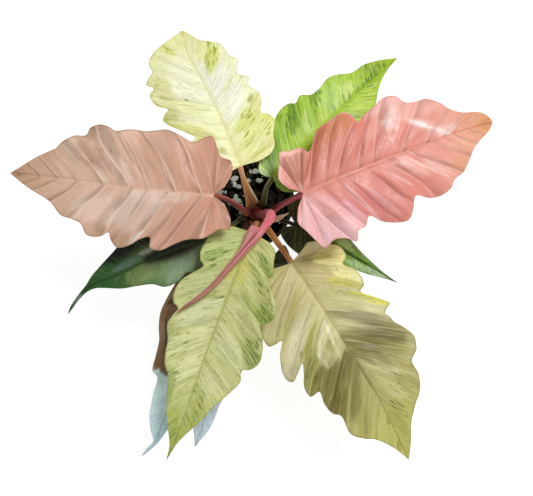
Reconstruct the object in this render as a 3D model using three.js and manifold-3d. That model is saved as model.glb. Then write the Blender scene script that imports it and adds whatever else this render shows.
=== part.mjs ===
// A potted philodendron with large, loosely lobed leaves in pink, cream, lime and dark green.
// Millimetres, +Z up. The origin is the centre of the pot's flat bottom.
import * as THREE from 'three';
import { mergeVertices } from 'three/addons/utils/BufferGeometryUtils.js';
import Module from 'manifold-3d';

const wasm = await Module();
wasm.setup();

// Driving dimensions
const clearance = 0.3;

const potHeight = 110;
const potRimRadius = 60;
const potBaseRadius = 44;
const potWall = 1.6;
const potFloor = 2;
const rimBandHeight = 14;
const rimBandDepth = 2.4;
const rimLip = 1.2;
const drainHoleCount = 6;
const drainHoleRadius = 5;
const drainRingRadius = 29;
const roundSides = 48;
const holeSides = 16;

const soilTop = 98;
const soilCrown = 2;
const soilShoulder = 0.6;
const soilPlateau = 0.3;

const stemFoot = new THREE.Vector3(6, -6, 66);
const stemTop = new THREE.Vector3(19, -23, 150);
const stemFootRadius = 9;
const stemTopRadius = 6.5;
const stemSides = 20;

const bladeThickness = 1;
const midribDepth = 1.3;
const bladeStrips = 4;
const veinBend = 0.25;
const halfLeafWidth = 50;
const rightWaveOffset = 0.4;

const petioleTopShare = 0.8;
const petioleSides = 10;
const petioleSteps = 9;
const petioleClaspLength = 14;
const petioleClaspLean = 2.5;
const petioleNeckLength = 14;
const petioleBow = 0.06;
const petioleGap = 0.5;
const petioleTaper = 0.35;
const petioleArrival = new THREE.Vector3(0.5, 0, 0.87);

const leafRoughness = 0.4;
const stalkRoughness = 0.45;
const potColour = 0x1c1b1a;
const soilColour = 0x241c14;
const stemColour = 0x6d5a3a;

// Each leaf is described flat, looking down on it, with x from the petiole joint to the tip and y
// to the left. rib is the midrib, left and right are the two margins from the back of the basal
// lobe to the last point before the tip, with as many points on each side. The flat leaf is then laid along the line
// from base to tip, which may be a little longer than reach.
// fold lifts the halves beside the midrib, cup drops them and wave ripples them further out:
// each is in millimetres at half the width of a large leaf. The petiole leaves the stem at a level,
// 0 at its foot and 1 at its top, on a bearing in degrees, with half its foot's width and depth
// and half the width of its sheath, where it leaves the stem.
const leaves = [
  {
    name: 'dusty_pink',
    colour: 0xcfa992,
    base: [-24, -20, 252],
    tip: [-238, 10, 214],
    reach: 205,
    roll: -3,
    sweep: 0.62,
    arch: 10,
    fold: 5,
    cup: 9,
    wave: 3.5,
    waveCount: 3.5,
    wavePhase: 0.1,
    rib: [[0, 0], [60, 2], [125, 1], [205, 0]],
    left: [
      [-11, 7], [-18, 20], [-18, 30], [-8, 32], [-2, 37], [5, 42], [20, 45], [33, 51],
      [46, 58], [54, 57], [55, 47], [63, 50], [75, 58], [88, 60], [94, 53], [96, 47],
      [105, 52], [116, 52], [123, 42], [136, 38], [145, 36], [158, 24], [180, 14], [195, 6],
    ],
    right: [
      [-9, -9], [-14, -22], [-12, -34], [-1, -38], [4, -47], [12, -58], [20, -54], [27, -49],
      [40, -54], [53, -58], [65, -57], [76, -55], [86, -55], [95, -53], [101, -51], [110, -55],
      [122, -57], [130, -53], [132, -45], [144, -43], [152, -37], [160, -28], [177, -19], [193, -8],
    ],
    petiole: { level: 0.9, turn: 172, foot: [4, 3.4], sheath: 4, colour: 0x744232 },
  },
  {
    name: 'cream',
    colour: 0xebecc0,
    base: [2, 13, 236],
    tip: [-61, 165, 208],
    reach: 148,
    roll: 4,
    sweep: 0.62,
    arch: 9,
    fold: 6,
    cup: 8,
    wave: 3,
    waveCount: 3,
    wavePhase: 0.4,
    rib: [[0, 0], [50, 0], [88, 2], [122, 4.5], [148, 0]],
    left: [
      [-4, 19], [-2, 30], [5, 37], [15, 40], [27, 40], [35, 36], [38, 29],
      [46, 35], [56, 44], [67, 50], [72, 45], [74, 42], [82, 51], [93, 53], [98, 47],
      [106, 52], [112, 47], [116, 42], [126, 42], [136, 31], [141, 19], [145, 8],
    ],
    right: [
      [-2, -17], [1, -30], [7, -37], [17, -40], [29, -46], [36, -43], [40, -37],
      [48, -41], [56, -43], [63, -40], [67, -36], [76, -39], [83, -31], [91, -35], [98, -37],
      [105, -31], [112, -30], [119, -27], [125, -19], [130, -12], [137, -7], [143, -4],
    ],
    petiole: { level: 0.84, turn: 118, foot: [5.5, 3.2], sheath: 7.5, colour: 0xa77a55 },
  },
  {
    name: 'lime',
    colour: 0xa8c554,
    base: [35, 4, 222],
    tip: [169, 139, 194],
    reach: 172,
    roll: -4,
    sweep: 0.6,
    arch: 9,
    fold: 7,
    cup: 9,
    wave: 3,
    waveCount: 3,
    wavePhase: 0.7,
    rib: [[0, 0], [80, 1], [172, 0]],
    left: [
      [-4, 5], [-5, 12], [2, 19], [12, 21], [22, 23], [32, 31], [42, 38], [55, 41], [62, 39],
      [66, 35], [74, 37], [82, 30], [92, 29], [104, 31], [114, 28], [126, 19], [140, 17], [156, 10],
    ],
    right: [
      [-4, -9], [-3, -17], [3, -24], [9, -31], [18, -36], [30, -41], [42, -43], [53, -41], [59, -34],
      [66, -36], [76, -37], [85, -33], [91, -24], [100, -21], [117, -20], [128, -13], [142, -6], [157, -2],
    ],
    petiole: { level: 0.84, turn: 64, foot: [3.8, 3.2], sheath: 3.8, colour: 0x5a5a32 },
  },
  {
    name: 'rose',
    colour: 0xe9a59a,
    base: [65, -19, 258],
    tip: [263, 60, 222],
    reach: 201,
    roll: 3,
    sweep: 0.62,
    arch: 10,
    fold: 5,
    cup: 9,
    wave: 3.5,
    waveCount: 3.5,
    wavePhase: 0.3,
    rib: [[0, 0], [40, 2], [105, 3], [155, 4], [203, 2]],
    left: [
      [-11, 9], [-16, 20], [-11, 33], [-6, 44], [2, 42], [15, 41], [19, 35], [27, 42], [35, 52],
      [48, 56], [64, 59], [71, 54], [74, 46], [84, 51], [93, 54], [105, 59], [117, 57],
      [124, 48], [134, 46], [146, 45], [157, 36], [164, 27], [176, 20], [191, 16], [200, 9],
    ],
    right: [
      [-9, -11], [-14, -24], [-9, -35], [-3, -46], [4, -55], [13, -51], [23, -54], [31, -60], [36, -51],
      [44, -50], [51, -42], [62, -51], [74, -57], [84, -59], [92, -51], [99, -40], [112, -46],
      [125, -48], [135, -45], [142, -38], [152, -35], [162, -27], [172, -17], [184, -10], [195, -5],
    ],
    petiole: { level: 0.9, turn: 9, foot: [4, 3.4], sheath: 4, colour: 0x6e2a28 },
  },
  {
    name: 'pale_green',
    colour: 0xbdbf7e,
    base: [14, -54, 228],
    tip: [-74, -283, 150],
    reach: 238,
    roll: 2,
    sweep: 0.62,
    arch: 14,
    fold: 6,
    cup: 9,
    wave: 3.5,
    waveCount: 4,
    wavePhase: 0.2,
    rib: [[0, 0], [120, 0], [225, 0], [246, -2]],
    left: [
      [3, 20], [8, 28], [19, 31], [31, 35], [36, 31], [45, 39], [54, 47], [66, 51], [75, 46],
      [78, 40], [88, 46], [100, 51], [113, 53], [122, 47], [126, 39], [137, 42], [152, 36],
      [172, 25], [190, 18], [206, 10], [222, 3],
    ],
    right: [
      [1, -19], [6, -30], [18, -38], [33, -41], [41, -38], [45, -33], [58, -43], [68, -50],
      [80, -52], [88, -49], [92, -42], [101, -45], [112, -47], [124, -42], [138, -39], [149, -35],
      [158, -28], [175, -24], [194, -18], [210, -11], [227, -4],
    ],
    petiole: { level: 0.82, turn: -106, foot: [3.8, 3.2], sheath: 3.8, colour: 0xa0704c },
  },
  {
    name: 'olive',
    colour: 0xb4aa74,
    base: [55, -81, 190],
    tip: [183, -289, 128],
    reach: 230,
    roll: 3,
    sweep: 0.8,
    arch: 14,
    fold: 6,
    cup: 8,
    wave: 3.5,
    waveCount: 4,
    wavePhase: 0.6,
    rib: [[0, 0], [38, 3], [97, 5], [138, 6], [172, 4], [230, 0]],
    left: [
      [-9, 24], [-5, 33], [2, 39], [10, 49], [21, 50], [26, 43], [35, 50], [46, 52],
      [54, 50], [57, 44], [71, 55], [82, 63], [84, 58], [87, 54], [92, 56], [98, 57], [109, 63],
      [124, 68], [130, 66], [135, 63], [141, 53], [156, 52], [172, 45], [184, 32], [196, 21], [212, 12],
    ],
    right: [
      [-5, -22], [0, -33], [8, -42], [20, -50], [34, -58], [48, -63], [58, -62], [59, -56],
      [59, -48], [70, -57], [84, -63], [97, -64], [101, -60], [95, -51], [88, -42], [98, -46],
      [111, -53], [120, -52], [120, -42], [132, -44], [146, -42], [153, -36], [173, -37],
      [184, -28], [192, -18], [210, -7],
    ],
    petiole: { level: 0.82, turn: -60, foot: [4.2, 3.6], sheath: 4.2, colour: 0xa7795a },
  },
  {
    name: 'dark_left',
    colour: 0x45603f,
    base: [-25, -55, 192],
    tip: [-184, -131, 158],
    reach: 165,
    roll: -6,
    sweep: 0.6,
    arch: 8,
    fold: 7,
    cup: 8,
    wave: 2.5,
    waveCount: 2.5,
    wavePhase: 0,
    rib: [[0, 0], [30, -6], [65, -10], [105, -11], [128, -13], [146, -10], [167, 2]],
    left: [
      [-6, 6], [-10, 16], [-3, 25], [12, 27], [28, 24], [39, 18], [50, 22], [64, 21],
      [74, 13], [88, 8], [104, 3], [117, -4], [128, -9], [138, -9.5], [149, -6], [158, -2],
    ],
    right: [
      [-8, -5], [-14, -16], [-12, -30], [0, -42], [18, -46], [36, -47], [49, -41], [62, -45],
      [77, -42], [90, -35], [108, -28], [124, -22], [135, -16], [142, -13], [151, -9], [160, -4],
    ],
    petiole: { level: 0.6, turn: -165, foot: [3, 2.8], sheath: 3, colour: 0x5a5a32 },
  },
  {
    name: 'dark_right',
    colour: 0x5a7048,
    base: [60, -38, 168],
    tip: [168, -97, 150],
    reach: 114,
    roll: 3,
    sweep: 0.6,
    arch: 6,
    fold: 6,
    cup: 6,
    wave: 2,
    waveCount: 2.5,
    wavePhase: 0.5,
    rib: [[0, 0], [60, 0.5], [119, 0]],
    left: [
      [-13, 8], [-18, 17], [-12, 27], [4, 31], [22, 30], [34, 26], [44, 20],
      [54, 14], [64, 10], [75, 7], [88, 4], [98, 2], [108, 1],
    ],
    right: [
      [-9, -7], [-9, -14], [0, -20], [10, -23], [22, -24], [34, -21], [46, -16],
      [58, -12], [68, -10], [78, -9], [88, -7], [99, -4], [109, -1.5],
    ],
    petiole: { level: 0.6, turn: -24, foot: [3, 2.8], sheath: 3, colour: 0x5c3a2a },
  },
  {
    name: 'bronze',
    colour: 0x7a5a48,
    base: [-17, -88, 160],
    tip: [-109, -288, 86],
    reach: 202,
    roll: 0,
    sweep: 0.55,
    arch: 11,
    fold: 6,
    cup: 7,
    wave: 2.5,
    waveCount: 3,
    wavePhase: 0.2,
    rib: [[0, 0], [70, 2], [135, 3], [170, 5], [185, 5], [203, -2]],
    left: [
      [-6, 8], [-10, 20], [-4, 31], [10, 38], [26, 40], [42, 38], [58, 38], [70, 36], [80, 30],
      [94, 29], [110, 26], [124, 23], [138, 19], [153, 15], [168, 11], [183, 7.5], [194, 2.8],
    ],
    right: [
      [-6, -8], [-11, -20], [-6, -32], [8, -37], [26, -39], [45, -41], [60, -41], [73, -37], [85, -31],
      [100, -28], [114, -25], [118, -18], [137, -15], [158, -10], [172, -3], [181, 3], [192, 0],
    ],
    petiole: { level: 0.57, turn: -128, foot: [3, 2.8], sheath: 3, colour: 0x6a4230 },
  },
  {
    name: 'glaucous',
    colour: 0x9fb0b0,
    base: [24, -78, 140],
    tip: [-50, -278, 76],
    reach: 209,
    roll: 0,
    sweep: 0.55,
    arch: 10,
    fold: 6,
    cup: 6,
    wave: 2,
    waveCount: 3,
    wavePhase: 0.6,
    rib: [[0, 0], [50, -6], [130, -6], [183, -2], [210, -2]],
    left: [
      [-5, 8], [-14, 12], [-22, 12], [-27, 15], [-23, 21], [-13, 28], [0, 33], [16, 34], [34, 31],
      [52, 27], [70, 23], [86, 20], [101, 19.5], [117, 17.5], [133, 13], [152, 8.5], [172, 8], [186, 6], [199, 1.5],
    ],
    right: [
      [-7, -7], [-11, -14], [-8, -24], [0, -32], [10, -38], [22, -43], [36, -46], [50, -47], [64, -46],
      [77, -43], [88, -39], [97, -38], [108, -37], [121, -33], [138, -26], [157, -20], [176, -15.5], [190, -10], [202, -5],
    ],
    petiole: { level: 0.5, turn: -95, foot: [3, 2.8], sheath: 3, colour: 0x5a5a32 },
  },
];

// The furled new leaf rises from the top of the stem, bends over and tapers to its point.
const spike = {
  colour: 0xc0606a,
  route: [
    [21, -26, 165], [26, -30, 195], [33, -35, 224], [32, -42, 238], [27, -50, 243], [19, -60, 243],
    [8, -72, 240], [-10, -92, 234], [-26, -109, 229], [-45, -124, 224], [-55, -130, 220], [-63, -136, 217],
  ],
  radii: [3.4, 3.6, 4.2, 5, 5, 5, 6, 5.2, 4.2, 3.2, 2.5, 1.7, 0.6],
  sides: 12,
  steps: 24,
};

// A papery bract stands beside the furled leaf.
const bract = {
  colour: 0xc99a74,
  level: 0.97,
  turn: -26,
  halfThickness: 0.8,
  route: [[32, -30, 158], [42, -31, 172], [52, -28, 187]],
  halfWidths: [2.3, 3.6, 4, 0.8],
  steps: 8,
};

const up = new THREE.Vector3(0, 0, 1);

function material(colour, roughness) {
  return new THREE.MeshStandardMaterial({ color: colour, roughness, metalness: 0 });
}

function geometryFrom(points, triangles) {
  const geometry = new THREE.BufferGeometry();
  geometry.setAttribute('position', new THREE.Float32BufferAttribute(points.flat(), 3));
  geometry.setIndex(triangles.flat());
  geometry.computeVertexNormals();
  return geometry;
}

// Joining and cutting

function toSolid(geometry) {
  const bare = geometry.clone();
  bare.deleteAttribute('normal');
  bare.deleteAttribute('uv');
  const merged = mergeVertices(bare, 1e-4);
  const mesh = new wasm.Mesh({
    numProp: 3,
    vertProperties: new Float32Array(merged.attributes.position.array),
    triVerts: new Uint32Array(merged.index.array),
  });
  return new wasm.Manifold(mesh);
}

function fromSolid(solid) {
  const { vertProperties, triVerts, numProp } = solid.getMesh();
  const geometry = new THREE.BufferGeometry();
  const positions = new Float32Array((vertProperties.length / numProp) * 3);
  for (let i = 0; i < positions.length / 3; i += 1) {
    positions.set(vertProperties.subarray(i * numProp, i * numProp + 3), i * 3);
  }
  geometry.setAttribute('position', new THREE.BufferAttribute(positions, 3));
  geometry.setIndex(new THREE.BufferAttribute(new Uint32Array(triVerts), 1));
  geometry.computeVertexNormals();
  return geometry;
}

// A profile of [radius, height] pairs turned about the vertical axis.
function turned(profile, sides) {
  const points = profile.map(([radius, height]) => new THREE.Vector2(radius, height));
  return new THREE.LatheGeometry(points, sides).rotateX(Math.PI / 2);
}

// A straight rod with flat ends that may narrow along its length.
function rod(from, to, fromRadius, toRadius, sides) {
  const span = to.clone().sub(from);
  const turn = new THREE.Quaternion().setFromUnitVectors(new THREE.Vector3(0, 1, 0), span.clone().normalize());
  const middle = from.clone().add(to).multiplyScalar(0.5);
  return new THREE.CylinderGeometry(toRadius, fromRadius, span.length(), sides)
    .applyQuaternion(turn)
    .translate(middle.x, middle.y, middle.z);
}

// The radius of the pot's outside face below its rim band, at a height
function potSide(height) {
  return THREE.MathUtils.mapLinear(height, 0, potHeight, potBaseRadius, potRimRadius - rimBandDepth);
}

// A flat-bottomed tapered nursery pot with a banded rim and a ring of drainage holes
function makePot() {
  const bandFoot = potHeight - rimBandHeight;
  const profile = [
    [0, 0],
    [potBaseRadius, 0],
    [potSide(bandFoot), bandFoot],
    [potSide(bandFoot) + rimBandDepth, bandFoot],
    [potRimRadius, potHeight - rimLip],
    [potRimRadius - rimLip / 2, potHeight],
    [potSide(potHeight) - potWall, potHeight],
    [potSide(potFloor) - potWall, potFloor],
    [0, potFloor],
  ];
  let pot = toSolid(turned(profile, roundSides));
  for (let i = 0; i < drainHoleCount; i += 1) {
    const angle = (i / drainHoleCount) * 2 * Math.PI;
    const x = drainRingRadius * Math.cos(angle);
    const y = drainRingRadius * Math.sin(angle);
    const below = new THREE.Vector3(x, y, -potFloor);
    const above = new THREE.Vector3(x, y, potFloor * 2);
    pot = pot.subtract(toSolid(rod(below, above, drainHoleRadius, drainHoleRadius, holeSides)));
  }
  return new THREE.Mesh(fromSolid(pot), material(potColour, 0.55));
}

// Potting mix that fills the pot, a little crowned, with a plain hole where the stem stands
function makeSoil() {
  const foot = potFloor + clearance;
  const inside = (height) => potSide(height) - potWall - clearance;
  const profile = [
    [0, foot],
    [inside(foot), foot],
    [inside(soilTop), soilTop],
    [inside(soilTop) * soilShoulder, soilTop + soilCrown * soilShoulder],
    [inside(soilTop) * soilPlateau, soilTop + soilCrown],
    [0, soilTop + soilCrown],
  ];
  const direction = stemTop.clone().sub(stemFoot).normalize();
  const holeFoot = stemFoot.clone().addScaledVector(direction, -clearance);
  const hole = rod(holeFoot, stemTop, stemFootRadius + clearance, stemTopRadius + clearance, stemSides);
  const soil = toSolid(turned(profile, roundSides)).subtract(toSolid(hole));
  return new THREE.Mesh(fromSolid(soil), material(soilColour, 0.95));
}

function makeStem() {
  const stem = rod(stemFoot, stemTop, stemFootRadius, stemTopRadius, stemSides);
  return new THREE.Mesh(stem, material(stemColour, 0.7));
}

// A closed limb along a smooth curve through the points, with an oval section.
// sizes holds [half width, half depth] at each point, and across is the way the width lies.
function limb(points, sizes, across, sides, steps) {
  const curve = new THREE.CatmullRomCurve3(points, false, 'centripetal');
  const last = points.length - 1;
  const vertices = [];
  const triangles = [];
  for (let i = 0; i <= steps; i += 1) {
    const t = i / steps;
    const centre = curve.getPoint(t);
    const along = curve.getTangent(t);
    const wide = across.clone().addScaledVector(along, -across.dot(along)).normalize();
    const deep = along.clone().cross(wide);
    const segment = Math.min(Math.floor(t * last), last - 1);
    const share = t * last - segment;
    const halfWidth = THREE.MathUtils.lerp(sizes[segment][0], sizes[segment + 1][0], share);
    const halfDepth = THREE.MathUtils.lerp(sizes[segment][1], sizes[segment + 1][1], share);
    for (let k = 0; k < sides; k += 1) {
      const angle = (k / sides) * 2 * Math.PI;
      const point = centre.clone()
        .addScaledVector(wide, halfWidth * Math.cos(angle))
        .addScaledVector(deep, halfDepth * Math.sin(angle));
      vertices.push(point.toArray());
    }
  }
  for (let i = 0; i < steps; i += 1) {
    for (let k = 0; k < sides; k += 1) {
      const a = i * sides + k;
      const b = i * sides + ((k + 1) % sides);
      triangles.push([a, b, b + sides], [a, b + sides, a + sides]);
    }
  }
  for (let k = 1; k < sides - 1; k += 1) {
    const top = steps * sides;
    triangles.push([0, k + 1, k], [top, top + k, top + k + 1]);
  }
  return geometryFrom(vertices, triangles);
}

// Height of a smooth line through [x, y] points at x
function heightOn(points, x) {
  let i = 0;
  while (i < points.length - 2 && x > points[i + 1][0]) i += 1;
  const slope = (k) => {
    const before = points[Math.max(k - 1, 0)];
    const after = points[Math.min(k + 1, points.length - 1)];
    return (after[1] - before[1]) / (after[0] - before[0]);
  };
  const [x0, y0] = points[i];
  const [x1, y1] = points[i + 1];
  const span = x1 - x0;
  const t = THREE.MathUtils.clamp((x - x0) / span, 0, 1);
  const t2 = t * t;
  const t3 = t2 * t;
  return (2 * t3 - 3 * t2 + 1) * y0 + (t3 - 2 * t2 + t) * span * slope(i)
    + (3 * t2 - 2 * t3) * y1 + (t3 - t2) * span * slope(i + 1);
}

// Where each pair of margin points has its lateral veins' root on the midrib: back from the margin
// by the leaf's sweep, never behind the joint or behind the pair before it
function veinRoots(leaf) {
  const roots = [];
  const minimumStep = 0.8;
  for (let i = 0; i < leaf.left.length; i += 1) {
    const [leftX, leftY] = leaf.left[i];
    const [rightX, rightY] = leaf.right[i];
    const wanted = (leftX + rightX - leaf.sweep * (leftY - rightY)) / 2;
    const previous = roots.length > 0 ? roots[i - 1] : 0;
    const next = previous > 0 ? previous + minimumStep : 0;
    roots.push(Math.max(wanted, next, 0));
  }
  return roots;
}

// Height of the leaf above its flat outline, at a place on it
function leafHeight(leaf, x, y) {
  const along = x / leaf.reach;
  const arch = along > 0 ? 4 * leaf.arch * along * (1 - along) : 2 * leaf.arch * along;
  const offRib = y - heightOn(leaf.rib, x);
  const fromRib = Math.abs(offRib) / halfLeafWidth;
  const turns = leaf.waveCount * along + leaf.wavePhase + (offRib > 0 ? 0 : rightWaveOffset);
  const ripple = leaf.wave * fromRib * fromRib * Math.sin(2 * Math.PI * turns);
  return arch + leaf.fold * fromRib - leaf.cup * fromRib * fromRib + ripple;
}

// The leaf's own directions: x to the tip, z out of its upper face, y to the left
function leafFrame(leaf) {
  const base = new THREE.Vector3(...leaf.base);
  const chord = new THREE.Vector3(...leaf.tip).sub(base);
  const x = chord.clone().normalize();
  const flatLength = Math.hypot(chord.x, chord.y);
  const y = up.clone().cross(x).normalize().applyAxisAngle(x, THREE.MathUtils.degToRad(leaf.roll));
  const z = x.clone().cross(y);
  return { base, x, y, z, along: chord.length() / leaf.reach, across: flatLength / leaf.reach };
}

// The leaf as a thin closed blade: its top face, the same face lower down, and a rim between them.
// The midrib stands out under the blade.
function makeBlade(leaf) {
  const frame = leafFrame(leaf);
  const roots = veinRoots(leaf);
  const tip = leaf.rib[leaf.rib.length - 1];
  const top = [];
  const bottom = [];
  const seen = new Map();

  function vertex(side, station, strip) {
    const atTip = station === roots.length;
    const margin = atTip ? tip : (side > 0 ? leaf.left : leaf.right)[station];
    const root = atTip ? tip[0] : roots[station];
    const ribY = atTip ? tip[1] : heightOn(leaf.rib, root);
    const s = strip / bladeStrips;
    const x = root + (margin[0] - root) * ((1 - veinBend) * s + veinBend * s * s);
    const y = ribY + (margin[1] - ribY) * s;
    const key = `${x.toFixed(4)} ${y.toFixed(4)}`;
    if (seen.has(key)) return seen.get(key);
    const z = leafHeight(leaf, x, y);
    const keel = strip === 0 ? midribDepth * (1 - root / tip[0]) : 0;
    const point = frame.base.clone()
      .addScaledVector(frame.x, x * frame.along)
      .addScaledVector(frame.y, y * frame.across)
      .addScaledVector(frame.z, z);
    top.push(point.toArray());
    bottom.push(point.addScaledVector(frame.z, -bladeThickness - keel).toArray());
    seen.set(key, top.length - 1);
    return top.length - 1;
  }

  const upper = [];
  function face(a, b, c) {
    if (a !== b && b !== c && c !== a) upper.push([a, b, c]);
  }
  for (const side of [1, -1]) {
    for (let i = 0; i < roots.length; i += 1) {
      for (let j = 0; j < bladeStrips; j += 1) {
        const a = vertex(side, i, j);
        const b = vertex(side, i + 1, j);
        const c = vertex(side, i + 1, j + 1);
        const d = vertex(side, i, j + 1);
        if (side > 0) {
          face(a, b, c);
          face(a, c, d);
        } else {
          face(a, c, b);
          face(a, d, c);
        }
      }
    }
  }

  const count = top.length;
  const edges = new Set(upper.flatMap(([a, b, c]) => [`${a} ${b}`, `${b} ${c}`, `${c} ${a}`]));
  const triangles = [...upper, ...upper.map(([a, b, c]) => [a + count, c + count, b + count])];
  for (const edge of edges) {
    const [a, b] = edge.split(' ').map(Number);
    if (!edges.has(`${b} ${a}`)) {
      triangles.push([a, b + count, b], [a, a + count, b + count]);
    }
  }
  return new THREE.Mesh(geometryFrom([...top, ...bottom], triangles), material(leaf.colour, leafRoughness));
}

// A place beside the stem at a level and bearing, and the way out from the stem there
function besideStem(level, turn, distance) {
  const angle = THREE.MathUtils.degToRad(turn);
  const outward = new THREE.Vector3(Math.cos(angle), Math.sin(angle), 0);
  const radius = THREE.MathUtils.lerp(stemFootRadius, stemTopRadius, level);
  const place = stemFoot.clone().lerp(stemTop, level).addScaledVector(outward, radius + distance);
  return { place, outward };
}

// A leaf stalk that starts flat against the stem, rises along it and turns out to the blade's joint.
// It ends just under the blade.
function makePetiole(leaf) {
  const frame = leafFrame(leaf);
  const { level, turn, foot, sheath } = leaf.petiole;
  const [footWidth, footDepth] = foot;
  const { place, outward } = besideStem(level, turn, footDepth + clearance);
  const stemDirection = stemTop.clone().sub(stemFoot).normalize();
  const leaveStem = place.clone()
    .addScaledVector(stemDirection, petioleClaspLength)
    .addScaledVector(outward, petioleClaspLean);

  const arrival = frame.x.clone().multiplyScalar(petioleArrival.x)
    .addScaledVector(frame.z, petioleArrival.z)
    .normalize();
  const drop = bladeThickness + midribDepth + petioleGap;
  const joint = frame.base.clone().addScaledVector(frame.z, -drop);
  const beforeJoint = joint.clone().addScaledVector(arrival, -petioleNeckLength);

  const span = beforeJoint.clone().sub(leaveStem);
  const middle = leaveStem.clone().addScaledVector(span, 0.5).addScaledVector(up, span.length() * petioleBow);
  const across = up.clone().cross(outward);
  const topRadius = footDepth * petioleTopShare;
  const middleWidth = THREE.MathUtils.lerp(topRadius, sheath, petioleTaper);
  const sizes = [
    [footWidth, footDepth],
    [sheath, footDepth],
    [middleWidth, topRadius],
    [topRadius, topRadius],
    [topRadius, topRadius],
  ];
  const points = [place, leaveStem, middle, beforeJoint, joint];
  const geometry = limb(points, sizes, across, petioleSides, petioleSteps);
  return new THREE.Mesh(geometry, material(leaf.petiole.colour, stalkRoughness));
}

function makeSpike() {
  const stemDirection = stemTop.clone().sub(stemFoot).normalize();
  const start = stemTop.clone().addScaledVector(stemDirection, clearance);
  const points = [start, ...spike.route.map((point) => new THREE.Vector3(...point))];
  const sizes = spike.radii.map((radius) => [radius, radius]);
  const heading = points[points.length - 1].clone().sub(start);
  const across = up.clone().cross(heading).normalize();
  const geometry = limb(points, sizes, across, spike.sides, spike.steps);
  return new THREE.Mesh(geometry, material(spike.colour, leafRoughness));
}

function makeBract() {
  const { place, outward } = besideStem(bract.level, bract.turn, bract.halfThickness + clearance);
  const points = [place, ...bract.route.map((point) => new THREE.Vector3(...point))];
  const sizes = bract.halfWidths.map((halfWidth) => [halfWidth, bract.halfThickness]);
  const across = up.clone().cross(outward);
  const geometry = limb(points, sizes, across, petioleSides, bract.steps);
  return new THREE.Mesh(geometry, material(bract.colour, stalkRoughness));
}

const plant = new THREE.Group();

function add(mesh, name) {
  mesh.name = name;
  plant.add(mesh);
}

add(makePot(), 'pot');
add(makeSoil(), 'soil');
add(makeStem(), 'stem');
for (const leaf of leaves) {
  add(makeBlade(leaf), `leaf_${leaf.name}`);
  add(makePetiole(leaf), `petiole_${leaf.name}`);
}
add(makeSpike(), 'furled_leaf');
add(makeBract(), 'bract');

export default plant;
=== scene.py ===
# A potted philodendron with large lobed leaves in pink, cream, lime and dark green, and its furled
# new leaf. The scene is in metres. The leaves' own outlines are in millimetres.
import math
import random

import bmesh
import bpy
import numpy as np
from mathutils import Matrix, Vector, noise


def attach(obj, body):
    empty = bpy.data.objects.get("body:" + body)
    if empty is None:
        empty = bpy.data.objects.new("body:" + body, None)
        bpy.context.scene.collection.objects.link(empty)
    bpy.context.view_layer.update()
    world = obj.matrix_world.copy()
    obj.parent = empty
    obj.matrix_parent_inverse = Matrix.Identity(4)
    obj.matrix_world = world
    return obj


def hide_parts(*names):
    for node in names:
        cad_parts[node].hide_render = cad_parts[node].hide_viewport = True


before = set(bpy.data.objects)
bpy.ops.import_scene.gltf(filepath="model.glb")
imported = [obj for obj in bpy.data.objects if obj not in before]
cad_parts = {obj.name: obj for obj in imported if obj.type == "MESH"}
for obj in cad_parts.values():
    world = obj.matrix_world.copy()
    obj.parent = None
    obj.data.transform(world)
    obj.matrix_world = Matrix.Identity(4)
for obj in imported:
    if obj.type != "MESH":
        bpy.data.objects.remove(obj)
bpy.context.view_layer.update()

# Driving dimensions in millimetres, with counts, shares and strengths
MM = 0.001
CLEARANCE = 0.3

POT_HEIGHT = 110
POT_RIM_RADIUS = 60
POT_BASE_RADIUS = 44
POT_WALL = 1.6
POT_FLOOR = 2
FOOT_RING_WIDTH = 5
FOOT_RING_DEPTH = 1
PLAIN_MIDDLE_RADIUS = 20
RIM_BAND_HEIGHT = 14
RIM_BAND_DEPTH = 2.4
RIM_LIP = 1.2
DRAIN_HOLE_COUNT = 6
DRAIN_HOLE_RADIUS = 5
DRAIN_RING_RADIUS = 29
DRAIN_HOLE_SIDES = 32
DRAIN_CUTTER_LENGTH = 12
POT_SIDES = 144
SHARP_EDGE_DEGREES = 35

SOIL_TOP = 98
SOIL_CROWN = 2
SOIL_RINGS = 56
SOIL_SIDES = 160
# Lumps of the soil's top, as how many there are to a metre and how far they rise
SOIL_LUMPS = [(90, 1.6), (320, 0.9)]
CRUMB_MARGIN = 1
CRUMB_ROUGHNESS = 0.55

STEM_FOOT = np.array([6, -6, 66])
STEM_TOP = np.array([19, -23, 150])
STEM_FOOT_RADIUS = 9
STEM_TOP_RADIUS = 6.5
STEM_SPANS = 5
STEM_RINGS = 7
STEM_RING_RISE = 0.5

BLADE_THICKNESS = 0.7
CAD_BLADE_THICKNESS = 1
MIDRIB_DEPTH = 1.3
VEIN_BEND = 0.25
TIP_LEAN = 1.4
HALF_LEAF_WIDTH = 50
BASE_PHASE_OFFSET = 0.4
LEAST_VEIN_STEP = 0.8
BLADE_STEPS = 6
BLADE_STRIPS = 34
EDGE_ROUNDING = 0.22
MARGIN_CROWDING = 1.15
ROOT_SMOOTHING = 3
SPACE_BEFORE_VEINS = 18
SPACE_AFTER_VEINS = 20
# The right half reads its noise this far from where the left half does
FAR_HALF_SHIFT = 500

PLEAT_DEPTH = 1
PLEAT_LEAN = 0.75
SMALL_PLEAT_DEPTH = 0.25
RIB_GROOVE = 0.9
VEIN_WANDER = 0.22
FIBRE_CONTRAST = 0.55
MOTTLE_CONTRAST = 0.35
SATURATION = 1.12
MINOR_VEINS = 0.5

PETIOLE_TOP_SHARE = 0.8
PETIOLE_TOP_REACH = 0.7
PETIOLE_TAPER = 0.35
PETIOLE_GAP = 0.5
PETIOLE_CLASP_LENGTH = 14
PETIOLE_CLASP_LEAN = 2.5
PETIOLE_NECK_LENGTH = 14
PETIOLE_BOW = 0.06
PETIOLE_ARRIVAL = (0.5, 0.87)
LIMB_SIDES = 24
PETIOLE_STEPS = 14
LIMB_STEPS = 14
STEM_STEPS = 16

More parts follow.
